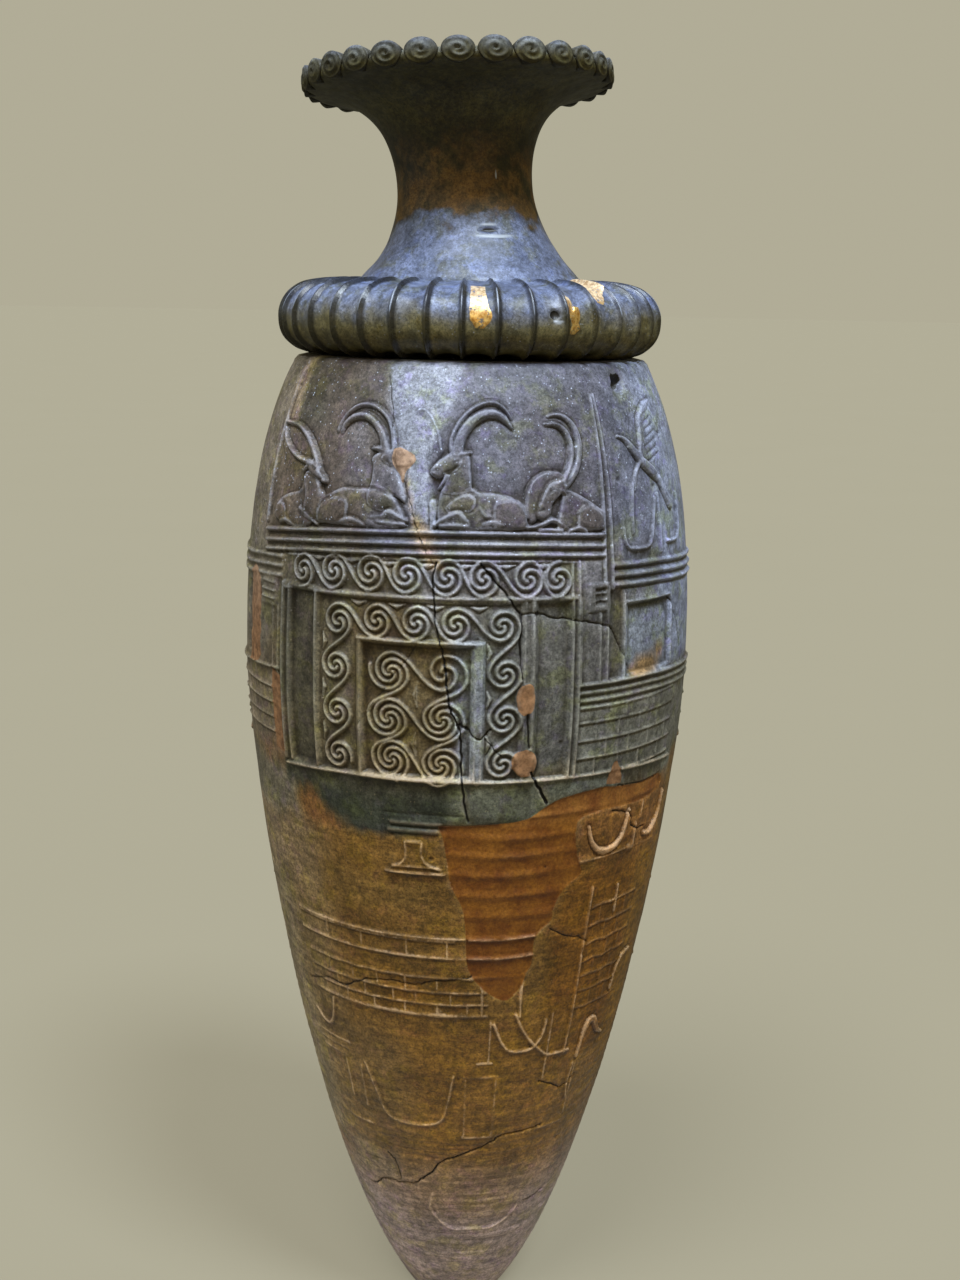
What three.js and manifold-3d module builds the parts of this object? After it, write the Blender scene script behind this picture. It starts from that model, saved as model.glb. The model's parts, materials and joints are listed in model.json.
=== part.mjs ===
// A pointed ovoid stone vase in two carved pieces: the hollow body, whose wall carries a low relief
// of a hill sanctuary, and the neck, with its flaring rim and a fluted collar that sits on the body.
// Millimetres, +Z up, origin at the centre of the underside, front of the vase towards -Y.
import * as THREE from 'three';
import { mergeVertices } from 'three/addons/utils/BufferGeometryUtils.js';
import Module from 'manifold-3d';

const wasm = await Module();
wasm.setup();

// Body outline: two quarter superellipses that meet at the widest ring.
const WIDEST_RADIUS = 69.9;
const WIDEST_HEIGHT = 219.4;
const LOWER = { reach: 231.8, curve: 1.366, fullness: 1.79 };
const UPPER = { reach: 122.5, curve: 2.51, fullness: 2.79 };
const BODY_TOP = 314.7; // flat seat of the neck
const SHOULDER_HEIGHT = 311.8; // where the wall rounds over towards the seat
const SEAT_RADIUS = 50.6; // outer edge of the flat seat
const WALL_THICKNESS = 8;
const HOLLOW_FLOOR = 46; // the tip below is solid stone
const MOUTH_RADIUS = 38; // opening of the body under the neck

// Neck and collar
const NECK_BOTTOM = 315;
const COLLAR_RADIUS = 58.7;
const FLUTES = 36;
const FLUTE_DEPTH = 1.7;
const FLUTE_PHASE = -2.3; // degrees: azimuth of the arris next to the front
const NECK_FOOT = 338; // height where the neck rises from the collar
const NECK_BEND_TOP = 352; // above this the neck is straight, and leans
const LEAN_LEFT = 3.5; // degrees
const LEAN_BACK = 3.5; // degrees
const LIP_RADIUS = 46.4;
const LIP_HEIGHT = 396.6;
const SCROLLS = 28; // little rolled scrolls round the rim
const SCROLL_RADIUS = 3;
const SCROLL_LENGTH = 5;
const SCROLL_PHASE = 0.8; // degrees

// Relief
const RELIEF = 1.3; // how far the carving stands proud
const SINK = 1.5; // how far each raised form is rooted in the wall
const COLUMN = 12; // degrees: facets of the body's wall
const FACET_ROWS = [152, 196, 222.3, 249.4, 280]; // edges that run between the carved registers

const stone = (color, roughness) => new THREE.MeshStandardMaterial({ color, roughness, metalness: 0 });
const BODY_STONE = stone(0x5a5142, 0.62);
const NECK_STONE = stone(0x4e5054, 0.45);

// ---- solids -------------------------------------------------------------------------------------

// A closed geometry as a solid that can be joined and cut.
function toSolid(geometry) {
  const bare = geometry.clone();
  bare.deleteAttribute('normal');
  bare.deleteAttribute('uv');
  const merged = mergeVertices(bare, 1e-4);
  return new wasm.Manifold(new wasm.Mesh({
    numProp: 3,
    vertProperties: new Float32Array(merged.attributes.position.array),
    triVerts: new Uint32Array(merged.index.array),
  }));
}

function toGeometry(solid) {
  const mesh = solid.getMesh();
  const geometry = new THREE.BufferGeometry();
  geometry.setAttribute('position', new THREE.BufferAttribute(mesh.vertProperties, 3));
  geometry.setIndex(new THREE.BufferAttribute(mesh.triVerts, 1));
  geometry.computeVertexNormals();
  return geometry;
}

// Turns an outline of [radius, height] pairs round the vertical axis. It starts and ends on the axis.
function turned(outline, segments) {
  const points = outline.map(([radius, height]) => new THREE.Vector2(radius, height));
  return new THREE.LatheGeometry(points, segments).rotateX(Math.PI / 2);
}

// Moves every vertex of a geometry with the function given.
function reshape(geometry, move) {
  const position = geometry.attributes.position;
  const point = new THREE.Vector3();
  for (let i = 0; i < position.count; i += 1) {
    move(point.fromBufferAttribute(position, i));
    position.setXYZ(i, point.x, point.y, point.z);
  }
  return geometry;
}

// ---- the body's wall ----------------------------------------------------------------------------

function wallRadius(height) {
  const half = height < WIDEST_HEIGHT ? LOWER : UPPER;
  const along = Math.abs(height - WIDEST_HEIGHT) / half.reach;
  return WIDEST_RADIUS * (1 - along ** half.curve) ** (1 / half.fullness);
}

// A point over the wall. The azimuth is in degrees from the front (-Y) towards +X.
function onWall(azimuth, height, proud) {
  const radius = wallRadius(height) + proud;
  const turn = THREE.MathUtils.degToRad(azimuth);
  return [radius * Math.sin(turn), -radius * Math.cos(turn), height];
}

const millimetresPerDegree = (height) => THREE.MathUtils.degToRad(wallRadius(height));

function levels(from, to, count) {
  return Array.from({ length: count + 1 }, (_, i) => from + ((to - from) * i) / count);
}

function bodyShell() {
  const wallHeights = [...levels(1.5, 118, 5), ...FACET_ROWS, SHOULDER_HEIGHT];
  const outside = [
    [0, 0],
    [wallRadius(0), 0],
    ...wallHeights.map((height) => [wallRadius(height), height]),
    [wallRadius(SHOULDER_HEIGHT) - 1, BODY_TOP - 0.9],
    [SEAT_RADIUS, BODY_TOP],
    [0, BODY_TOP],
  ];
  const hollowHeights = levels(HOLLOW_FLOOR + 6, SHOULDER_HEIGHT - 6, 5);
  const hollow = [
    [0, HOLLOW_FLOOR],
    [wallRadius(HOLLOW_FLOOR) * 0.45, HOLLOW_FLOOR + 1],
    ...hollowHeights.map((height) => [wallRadius(height) - WALL_THICKNESS, height]),
    [MOUTH_RADIUS, SHOULDER_HEIGHT - 1],
    [MOUTH_RADIUS, BODY_TOP + 1],
    [0, BODY_TOP + 1],
  ];
  return toSolid(turned(outside, 360 / COLUMN)).subtract(toSolid(turned(hollow, 16)));
}

// ---- relief -------------------------------------------------------------------------------------

// Cross-sections of a raised form: [share of its width, share of its rise], from the root round.
const FLAT_TOPPED = [[-0.5, -1], [0.5, -1], [0.3, 1], [-0.3, 1]];
const SHARP = [[-0.6, -1], [0.6, -1], [0, 1]];
const THREE_REEDS = [[-0.5, -1], [0.5, -1], [0.36, 1], [0.18, 0.2], [0, 1], [-0.18, 0.2], [-0.36, 1]];

// A raised moulding along a path of [azimuth, height] points.
function ridge(path, width, section = SHARP, proud = RELIEF) {
  const positions = [];
  path.forEach(([azimuth, height], i) => {
    const scale = millimetresPerDegree(height);
    const before = path[Math.max(i - 1, 0)];
    const after = path[Math.min(i + 1, path.length - 1)];
    const along = new THREE.Vector2((after[0] - before[0]) * scale, after[1] - before[1]).normalize();
    section.forEach(([side, rise]) => {
      const across = side * width;
      const lift = rise < 0 ? -SINK : rise * proud;
      positions.push(...onWall(azimuth - (along.y * across) / scale, height + along.x * across, lift));
    });
  });
  const corners = section.length;
  const index = [];
  for (let start = 0; start < (path.length - 1) * corners; start += corners) {
    for (let side = 0; side < corners; side += 1) {
      const here = start + side;
      const other = start + ((side + 1) % corners);
      index.push(here, other, other + corners, here, other + corners, here + corners);
    }
  }
  const last = (path.length - 1) * corners;
  for (let corner = 1; corner < corners - 1; corner += 1) {
    index.push(0, corner + 1, corner, last, last + corner, last + corner + 1);
  }
  const geometry = new THREE.BufferGeometry();
  geometry.setAttribute('position', new THREE.Float32BufferAttribute(positions, 3));
  geometry.setIndex(index);
  return toSolid(geometry);
}

// A raised silhouette: its outline of [azimuth, height] points lifted off the wall.
function patch(outline, proud = RELIEF, sink = SINK) {
  const shape = new THREE.Shape(outline.map(([azimuth, height]) => new THREE.Vector2(azimuth, height)));
  const slab = new THREE.ExtrudeGeometry(shape, { depth: 1, bevelEnabled: false });
  reshape(slab, (point) => {
    point.set(...onWall(point.x, point.y, THREE.MathUtils.lerp(-sink, proud, point.z)));
  });
  return toSolid(slab);
}

// A level path in equal steps, none longer than a facet of the wall.
function level(from, to, height) {
  const steps = Math.ceil((to - from) / COLUMN);
  return levels(from, to, steps).map((azimuth) => [azimuth, height]);
}

// Points on an ellipse round [azimuth, height], its half axes in millimetres, angles in degrees.
function arc([azimuth, height], across, up, from, to, count) {
  const scale = millimetresPerDegree(height);
  return levels(from, to, count).map((angle) => {
    const turn = THREE.MathUtils.degToRad(angle);
    return [azimuth + (across * Math.cos(turn)) / scale, height + up * Math.sin(turn)];
  });
}

// One volute: a strand that winds inwards round its centre.
function volute([azimuth, height], radius) {
  const scale = millimetresPerDegree(height);
  const path = levels(0, 1, 5).map((share) => {
    const reach = radius * (1 - 0.64 * share);
    const turn = THREE.MathUtils.degToRad(100 + 370 * share);
    return [azimuth + (reach * Math.cos(turn)) / scale, height + reach * Math.sin(turn)];
  });
  return ridge(path, 1.5);
}

function frame(left, right, bottom, top, width) {
  return [
    ridge(level(left, right, top), width),
    ridge([[left, bottom], [left, top]], width),
    ridge([[right, bottom], [right, top]], width),
  ];
}

// Horns of consecration: a U between two upright points, on a base line.
function sacralHorns(azimuth, foot, width, rise) {
  const half = width / 2 / millimetresPerDegree(foot);
  return [
    ridge([[azimuth - half, foot + rise], ...arc([azimuth, foot + width * 0.4], width * 0.42, width * 0.4,
      200, 340, 3), [azimuth + half, foot + rise]], 1.5),
  ];
}

function masonry(from, to, bottom, courseHeight, courses, brick) {
  const forms = [];
  for (let course = 0; course < courses; course += 1) {
    const height = bottom + course * courseHeight;
    forms.push(ridge(level(from, to, height + courseHeight), 1.2));
    for (let azimuth = from + brick * (course % 2 ? 1 : 0.55); azimuth < to - 1; azimuth += brick) {
      forms.push(ridge([[azimuth, height], [azimuth, height + courseHeight]], 1.2));
    }
  }
  return forms;
}

// The reclining goats over the shrine: body outline, neck with head, and the swept horns.
function goats() {
  return [
    patch([[-55, 267], [-55, 273], [-48, 277], [-44, 279], [-42, 284], [-38, 282], [-38, 276], [-40, 270]]),
    ridge(arc([-50, 284], 12, 11.5, 10, 140, 4), 2.6),
    ridge(arc([-50, 296], 11, 11, 190, 300, 3), 2.6),
    patch([[-38, 269], [-37, 276], [-31, 279], [-25, 280.5], [-25, 288], [-20, 291], [-15, 288.5],
      [-19, 284.5], [-16, 277], [-16, 270]]),
    ridge(arc([-28.5, 290], 10, 11, 15, 150, 5), 3),
    patch([[-10, 270], [-8, 277], [-6, 282], [-9.5, 285], [-6, 288.5], [-2, 290], [-1, 281], [8, 279],
      [12.5, 276.5], [13.5, 270.5]]),
    ridge(arc([5, 291], 10, 11, 175, 40, 5), 3.4),
    patch([[14.5, 270], [13.8, 277], [16, 283.5], [20, 285], [23.5, 283], [24, 279.5], [30, 277],
      [34, 274], [33, 269]]),
    ridge(arc([21.5, 291.5], 8.4, 7.6, -60, 105, 5), 3),
    patch([[-15, 271], [-17, 290], [-15.5, 299], [-12.5, 301.8], [-9.5, 298], [-8.5, 287]], 0.8),
  ];
}

// A bird that rises to the left, its wing spread behind it.
function bird() {
  return patch([[43, 294], [50, 291], [53, 298], [62, 303.5], [58, 292], [57, 285], [64, 273.5],
    [59.5, 275.5], [54, 283], [50, 285]]);
}

function cornices() {
  return [
    ridge(level(-60, 34, 265.6), 9, THREE_REEDS),
    ridge(level(37, 84, 255.4), 9, THREE_REEDS),
    ridge(level(83, 299, 255.6), 8),
  ];
}

function shrine() {
  const forms = [];
  for (let i = 0; i < 8; i += 1) {
    forms.push(volute([-43.5 + 9.3 * i, 255.6], 4.3));
  }
  for (let i = 0; i < 5; i += 1) {
    forms.push(volute([-31.7 + 9.9 * i, 243], 4.6));
  }
  for (const height of [229, 216, 202.6]) {
    forms.push(volute([-32.3, height], 4.6), volute([8.8, height], 4.4));
    forms.push(volute([-18, height], 5.6), volute([-5.3, height], 5.6));
  }
  forms.push(ridge(level(-50, 27, 250.4), 1.4));
  forms.push(...frame(-50.3, 26.6, 198, 250.4, 1.6), ...frame(-39, 14.8, 198, 249.4, 1.5));
  forms.push(...frame(-25.6, 2.6, 198.6, 238, 2));
  forms.push(ridge(level(-52, 75, 197.8), 1.4));
  return forms;
}

// Masts and the walled court at the right, with its window.
function court() {
  return [
    ridge([[-60, 268], [-60, 296], [-58, 305]], 2),
    ridge([[35.8, 251], [35.8, 305]], 2.6),
    ridge([[32.5, 225], [32.5, 250]], 1.8),
    ridge([[36, 225], [36, 243]], 1.8),
    patch([[29.8, 246], [29.8, 250.4], [36.2, 250.4], [36.2, 246]]),
    ...frame(40.5, 61, 225, 248, 1.8),
    ...[223.7, 220.3].map((height) => ridge(level(27.5, 72, height), 2)),
    ...masonry(27.5, 66, 198, 5.2, 3, 11),
    ...[206.6, 215.2, 223.8].map((height) => ridge(level(-66, -51, height), 1.4)),
    ...sacralHorns(46, 262, 11, 14),
    ...sacralHorns(64, 262, 11, 14),
  ];
}

// The hillside below: the altar, horns of consecration and walls.
function hillside() {
  return [
    patch([[-19.5, 168.5], [-19.5, 170.2], [-15.2, 173], [-14.5, 180], [-10.5, 180], [-9.8, 173],
      [-5, 170.2], [-5, 168.5]]),
    ...sacralHorns(41, 171.5, 14, 11),
    ...sacralHorns(60, 171.5, 13, 11),
    ridge(level(28, 68, 169.3), 1.2),
    ridge(level(-54, 20, 147.6), 1.2),
    ridge(level(-54, 20, 141), 1.2),
    ...[121.3, 129].map((height) => ridge(level(-52, 7, height), 1.4)),
    ridge([[37.5, 103], [37.5, 160]], 1.6),
    ...masonry(38.5, 62, 130, 8.5, 2, 13),
    ...sacralHorns(20, 107, 14, 10),
    ridge([[45, 100], [45.5, 108], [48, 111.3], [51, 109], [56, 104]], 1.6),
    ...sacralHorns(-18, 79, 25, 18),
    ridge([[2, 75], [2, 98]], 1.2),
    ridge([[12.5, 75], [12.5, 98]], 1.2),
    ridge(level(2, 12.5, 75), 1.2),
  ];
}

function body() {
  const forms = [...goats(), bird(), ...cornices(), ...shrine(), ...court(), ...hillside()];
  return forms.reduce((whole, form) => whole.add(form), bodyShell());
}

// ---- neck ---------------------------------------------------------------------------------------

// Bends the neck away from the vertical above the collar.
function lean(point) {
  const share = THREE.MathUtils.smoothstep(point.z, NECK_FOOT - 2, NECK_BEND_TOP);
  const tilt = new THREE.Euler(
    THREE.MathUtils.degToRad(-LEAN_BACK) * share,
    THREE.MathUtils.degToRad(-LEAN_LEFT) * share,
    0,
  );
  point.z -= NECK_FOOT;
  point.applyEuler(tilt);
  point.z += NECK_FOOT;
}

// The collar: a plump ring whose surface is cut into hollow flutes that meet in sharp arrises.
function collar() {
  const outline = [
    [0, NECK_BOTTOM],
    [50.2, NECK_BOTTOM],
    [56.5, NECK_BOTTOM + 4],
    [COLLAR_RADIUS, 325.3],
    [57.2, 331.4],
    [52.6, 336.6],
    [44, 339.2],
    [0, 339.2],
  ];
  const ring = turned(outline, FLUTES * 2);
  return toSolid(reshape(ring, (point) => {
    const radius = Math.hypot(point.x, point.y);
    const azimuth = Math.atan2(point.x, -point.y);
    const arris = Math.abs(Math.cos((azimuth * FLUTES) / 2));
    const fade = THREE.MathUtils.smoothstep(radius, 40, 51);
    const factor = radius > 0.001 ? 1 - (FLUTE_DEPTH * fade * (1 - arris)) / radius : 1;
    point.x *= factor;
    point.y *= factor;
    point.applyAxisAngle(new THREE.Vector3(0, 0, 1), THREE.MathUtils.degToRad(FLUTE_PHASE));
  }));
}

// The tube has one facet behind each scroll of the rim.
function neckTube() {
  const outline = [
    [0, 336], [36.3, 336], [31.5, 340.2], [26.4, 346.2], [22.6, 354], [20.6, 364], [21.2, 373],
    [25, 382.4], [32, 389.2], [LIP_RADIUS, LIP_HEIGHT - 3.1], [LIP_RADIUS, LIP_HEIGHT + 1.4],
    [0, LIP_HEIGHT + 1.4],
  ];
  const tube = turned(outline, SCROLLS);
  tube.rotateZ(THREE.MathUtils.degToRad(SCROLL_PHASE + 180 / SCROLLS));
  return toSolid(reshape(tube, lean));
}

function bore() {
  const outline = [
    [0, NECK_BOTTOM - 2], [20, NECK_BOTTOM - 2], [18, 338], [14.6, 354], [14.6, 370], [18, 381],
    [28, 391.6], [40.5, LIP_HEIGHT + 1], [41.5, LIP_HEIGHT + 6], [0, LIP_HEIGHT + 6],
  ];
  return toSolid(reshape(turned(outline, 14), lean));
}

// One little scroll: a short roll that lies across the rim, its end facing outwards.
function rimScroll(azimuth) {
  const corners = levels(0, 300, 5).map((angle) => {
    const turn = THREE.MathUtils.degToRad(angle);
    return new THREE.Vector2(SCROLL_RADIUS * Math.cos(turn), SCROLL_RADIUS * Math.sin(turn));
  });
  const roll = new THREE.ExtrudeGeometry(new THREE.Shape(corners), { depth: SCROLL_LENGTH, bevelEnabled: false });
  roll.rotateX(Math.PI / 2);
  roll.translate(0, SCROLL_LENGTH - LIP_RADIUS - 1, LIP_HEIGHT);
  roll.rotateZ(THREE.MathUtils.degToRad(azimuth));
  return toSolid(reshape(roll, lean));
}

function neck() {
  let whole = collar().add(neckTube());
  for (let i = 0; i < SCROLLS; i += 1) {
    whole = whole.add(rimScroll(SCROLL_PHASE + (360 / SCROLLS) * i));
  }
  return whole.subtract(bore());
}

// ---- the vase -----------------------------------------------------------------------------------

const group = new THREE.Group();

function place(name, solid, material) {
  const mesh = new THREE.Mesh(toGeometry(solid), material);
  mesh.name = name;
  group.add(mesh);
}

place('body', body(), BODY_STONE);
place('neck', neck(), NECK_STONE);

export default group;
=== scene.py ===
# %% [markdown]
# # A carved stone vase, in cells
#
# The vase is cut from a dark soft stone in two pieces. A pointed, egg-shaped body carries a low relief of
# a hill sanctuary, and a separate neck, with a flaring rim of little scrolls and a fluted collar, sits on
# the body's shoulder. It has been broken and mended, and smooth orange plaster fills what is missing.
# Each step below says what one part of the real vase is, how it could be made, and why this way was chosen.

# %% Load the solids that fix every size
import json
import math

import bpy
import numpy as np
from mathutils import Euler, Matrix, Vector

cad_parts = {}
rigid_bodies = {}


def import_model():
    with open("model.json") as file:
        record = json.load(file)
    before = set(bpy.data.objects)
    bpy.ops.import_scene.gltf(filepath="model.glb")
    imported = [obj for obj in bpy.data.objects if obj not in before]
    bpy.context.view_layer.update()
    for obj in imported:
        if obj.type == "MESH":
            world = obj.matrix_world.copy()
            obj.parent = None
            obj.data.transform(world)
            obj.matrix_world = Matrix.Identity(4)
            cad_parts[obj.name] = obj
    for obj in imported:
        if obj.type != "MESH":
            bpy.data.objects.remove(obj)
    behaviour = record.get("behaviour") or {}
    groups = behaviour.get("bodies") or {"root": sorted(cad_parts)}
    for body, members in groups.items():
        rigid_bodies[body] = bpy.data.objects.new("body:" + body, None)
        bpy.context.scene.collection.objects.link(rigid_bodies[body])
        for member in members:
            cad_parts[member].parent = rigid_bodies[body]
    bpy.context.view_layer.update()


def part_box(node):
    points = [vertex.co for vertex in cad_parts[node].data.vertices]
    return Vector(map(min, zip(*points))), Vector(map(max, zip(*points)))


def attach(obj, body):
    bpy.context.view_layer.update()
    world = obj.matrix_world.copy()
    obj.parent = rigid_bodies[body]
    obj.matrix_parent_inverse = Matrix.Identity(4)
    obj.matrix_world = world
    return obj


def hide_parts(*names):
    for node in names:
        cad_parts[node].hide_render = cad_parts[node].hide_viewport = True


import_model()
MM = 0.001
BODY_LOW, BODY_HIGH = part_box("body")
NECK_LOW, NECK_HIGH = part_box("neck")
print("the body rises from", round(BODY_LOW.z / MM, 1), "mm, the neck from", round(NECK_LOW.z / MM, 1), "to",
      round(NECK_HIGH.z / MM, 1), "mm")

# %% [markdown]
# ## The eye, the floor and the light
#
# The vase is seen from a little above its shoulder, half a metre away, with a lens that is close enough to
# show the rim from slightly below and the tip from above. The eye is placed by its distance and height, and
# turned by three angles, so that each can be changed alone. A wide pale floor and four soft lamps make a
# plain studio. A large lamp high on the left gives the relief its shadows, and a narrower, cooler one on the
# right gives the polished shoulder its sheen. Two weak lamps, warm and low in front and cool at the left,
# keep the lower half and the left edge from going black. The room itself lights the vase only a little, and
# a Light Path node lets it look paler to the eye than the light it gives.

# %% Place the eye
EYE = Vector((0, -0.503, 0.3315))
LOOK_DOWN = math.radians(12)
LOOK_RIGHT = math.radians(0.49)
ROLL = math.radians(1.055)
LENS_MM = 45
LENS_SENSOR_MM = 36

ahead = Vector((math.sin(LOOK_RIGHT) * math.cos(LOOK_DOWN), math.cos(LOOK_RIGHT) * math.cos(LOOK_DOWN),
                -math.sin(LOOK_DOWN)))
level_right = Vector((math.cos(LOOK_RIGHT), -math.sin(LOOK_RIGHT), 0))
level_up = level_right.cross(ahead)
right = level_right * math.cos(ROLL) + level_up * math.sin(ROLL)
up = level_up * math.cos(ROLL) - level_right * math.sin(ROLL)

eye = bpy.data.objects.new("eye", bpy.data.cameras.new("eye"))
eye.data.lens = LENS_MM
eye.data.sensor_width = LENS_SENSOR_MM
eye.matrix_world = Matrix((right, up, -ahead)).transposed().to_4x4()
eye.location = EYE
bpy.context.collection.objects.link(eye)
bpy.context.scene.camera = eye
print("eye at", [round(v, 3) for v in EYE])


# %% Hang the lamps
def lamp(name, direction, strength, colour, softness):
    """A wide, far lamp: direction points from the vase towards it, softness is its width in degrees."""
    light = bpy.data.lights.new(name, "SUN")
    light.energy = strength
    light.color = colour
    light.angle = math.radians(softness)
    holder = bpy.data.objects.new(name, light)
    holder.rotation_euler = Vector(direction).to_track_quat("Z", "Y").to_euler()
    bpy.context.collection.objects.link(holder)


lamp("left_lamp", (-0.26, -0.46, 1), 3.3, (0.82, 0.9, 1), 26)
lamp("right_lamp", (0.34, -0.46, 1.1), 3.7, (0.74, 0.86, 1), 15)
lamp("low_front_lamp", (0.25, -1, 0.16), 0.45, (1, 0.84, 0.58), 40)
lamp("left_side_lamp", (-1, -0.15, 0.22), 0.4, (0.76, 0.9, 1), 50)
print("four lamps")


# %% Place and connect nodes, first for the room's colour
# The node tree that is being wired is always called tree, and every helper below adds to it.
def feed(node, inputs):
    """Gives each named or numbered input of a node a value, or the output of another node."""
    for name, value in inputs.items():
        if isinstance(value, bpy.types.NodeSocket):
            tree.links.new(value, node.inputs[name])
        else:
            node.inputs[name].default_value = value


def place_node(kind, inputs=None, **settings):
    """Adds a node with some of its settings and inputs, and gives back its outputs."""
    made = tree.nodes.new(kind)
    for name, value in settings.items():
        setattr(made, name, value)
    feed(made, inputs or {})
    return made.outputs


def mixed(factor, first, second, blend="MIX"):
    """Mixes two colours."""
    inputs = {0: factor, 6: first, 7: second}
    return place_node("ShaderNodeMix", inputs, data_type="RGBA", blend_type=blend)[2]


def seen_by_eye():
    """1 for light that goes straight to the eye, 0 for light that falls on something first."""
    return place_node("ShaderNodeLightPath")["Is Camera Ray"]


ROOM_LIGHT = (0.25, 0.215, 0.115, 1)
ROOM_SEEN = (0.44, 0.415, 0.31, 1)
room = bpy.data.worlds.new("pale_room")
room.use_nodes = True
tree = room.node_tree
feed(tree.nodes["Background"], {"Color": mixed(seen_by_eye(), ROOM_LIGHT, ROOM_SEEN)})
bpy.context.scene.world = room
bpy.context.scene.view_settings.view_transform = "Standard"
print("a pale room")

# %% [markdown]
# ## The wall, unrolled
#
# The carver worked on a smooth egg of stone. Its outline is two quarter superellipses that meet at the
# widest ring, the same curve that the solid uses. A relief this low and this fine is easiest to make as a
# sheet of heights: imagine the wall unrolled, with the angle round the vase across it and the height up it,
# and every cell holding how far the stone stands above or below the smooth wall. Strokes of a chisel then
# become simple arithmetic on distances, and the finished sheet is wrapped back round the egg.
# On the sheet, angles are in degrees from the front, and heights and depths in millimetres.

# %% The outline of the wall
WIDEST_RADIUS = 69.9
WIDEST_HEIGHT = 219.4
LOWER_REACH, LOWER_CURVE, LOWER_FULLNESS = 231.8, 1.366, 1.79
UPPER_REACH, UPPER_CURVE, UPPER_FULLNESS = 122.5, 2.51, 2.79
SHOULDER = 311.8
BODY_TOP = BODY_HIGH.z / MM


def wall_radius(height):
    """Radius of the smooth wall at a height, both in millimetres."""
    height = np.asarray(height, float)
    below = height < WIDEST_HEIGHT
    along = np.abs(height - WIDEST_HEIGHT) / np.where(below, LOWER_REACH, UPPER_REACH)
    bent = np.clip(1 - along ** np.where(below, LOWER_CURVE, UPPER_CURVE), 1e-6, 1)
    return WIDEST_RADIUS * bent ** (1 / np.where(below, LOWER_FULLNESS, UPPER_FULLNESS))


print("radius at the widest ring", wall_radius(WIDEST_HEIGHT), "and at the foot", wall_radius(0).round(1))

# %% The sheet, and layers of work on it
CELL_DEGREES = 0.2
CELL_MM = 0.25
turn = np.arange(-180, 180 + CELL_DEGREES / 2, CELL_DEGREES)
rise = np.arange(0, SHOULDER + 1, CELL_MM)
mm_per_degree = np.radians(wall_radius(rise))

ground = np.zeros((len(rise), len(turn)))  # the surface that the relief stands on
raised = np.zeros_like(ground)  # what stands on the ground
cut = np.zeros_like(ground)  # what is cut into both
broken = np.zeros_like(ground)  # 1 in open cracks and chips
crease = np.zeros_like(ground)  # the chisel's cut round the outside of a figure
# The pale lines are wear, and on the upper carving partly a painted highlight.
rubbed_and_highlit = np.zeros_like(ground)  # 1 along the middle of a worn edge, less beside it
plaster = np.zeros_like(ground)  # 1 where the wall is modern fill
print("the sheet has", ground.shape, "cells")


def window(points, margin):
    """The rows and columns of the sheet within a margin, in millimetres, of some points."""
    points = np.asarray(points, float)
    low, high = points.min(axis=0), points.max(axis=0)
    rows = slice(*np.searchsorted(rise, (low[1] - margin, high[1] + margin)))
    reach = margin / mm_per_degree[rows].min()
    columns = slice(*np.searchsorted(turn, (low[0] - reach, high[0] + reach)))
    return rows, columns


# %% Distances on the sheet
NO_STEP = 1e-9  # keeps a step of no length from dividing by zero


def cells(rows, columns):
    """The angles, heights and millimetres per degree of some cells."""
    return turn[None, columns], rise[rows][:, None], mm_per_degree[rows][:, None]


def nearest(path, across, upward, scale):
    """Distance from each cell to a path, and how far along the path, 0 to 1, its nearest point lies."""
    distance, along = math.inf, 0
    count = len(path) - 1
    for i in range(count):
        (turn_a, rise_a), (turn_b, rise_b) = path[i], path[i + 1]
        step_x, step_y = (turn_b - turn_a) * scale, rise_b - rise_a
        x, y = (across - turn_a) * scale, upward - rise_a
        share = np.clip((x * step_x + y * step_y) / (step_x ** 2 + step_y ** 2 + NO_STEP), 0, 1)
        here = np.hypot(x - share * step_x, y - share * step_y)
        along = np.where(here < distance, (i + share) / count, along)
        distance = np.minimum(distance, here)
    return distance, along


def depth_inside(outline, across, upward, scale):
    """How deep each cell lies inside a closed outline, in millimetres. Outside, the depth is negative."""
    closed = list(outline) + [outline[0]]
    within = False
    for (turn_a, rise_a), (turn_b, rise_b) in zip(closed, closed[1:]):
        if rise_a != rise_b:
            crosses = (rise_a > upward) != (rise_b > upward)
            edge = turn_a + (upward - rise_a) * (turn_b - turn_a) / (rise_b - rise_a)
            within = within ^ (crosses & (across < edge))
    distance, _ = nearest(closed, across, upward, scale)
    return np.where(within, distance, -distance)



def smoothstep(low, high, value):
    """0 below low, 1 above high, and a soft S between them."""
    share = np.clip((value - low) / (high - low), 0, 1)
    return share * share * (3 - 2 * share)


# %% Curves through a few points
def curve(points, steps=6):
    """A smooth path through some points (a Catmull-Rom spline)."""
    points = np.asarray(points, float)
    padded = np.vstack([2 * points[0] - points[1], points, 2 * points[-1] - points[-2]])
    share = np.linspace(0, 1, steps, endpoint=False)[:, None]
    pieces = []
    for a, b, c, d in zip(padded, padded[1:], padded[2:], padded[3:]):
        pieces.append(0.5 * (2 * b + (c - a) * share + (2 * a - 5 * b + 4 * c - d) * share ** 2
                             + (3 * b - a - 3 * c + d) * share ** 3))
    return np.vstack(pieces + [points[-1:]])


def level(height, start, end, sag=0):
    """A line at one height, that droops towards the sides of the vase."""
    angles = np.linspace(start, end, max(2, int(abs(end - start) / 4)))
    return [(angle, height - sag * min(abs(angle), 60) ** 2) for angle in angles]


# %% The chisel's strokes
EDGE_MM = 0.85


def rounded(depth, edge=EDGE_MM):
    """Height, 0 to 1, of a rounded edge at some depth inside it, both in millimetres."""
    share = np.clip(depth / edge, 0, 1)
    return np.sqrt(share * (2 - share))


# Pale lines along the carving stand for wear, and on the upper carving partly for a painted highlight of its
# edges.
PALE_LINE_REACH = 1.2
CREASE_WIDTH = 0.8
CREASE_DEPTH = 0.4
COVERED = 1.2  # this deep inside a shape, the worn lines that it covers are gone


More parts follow.
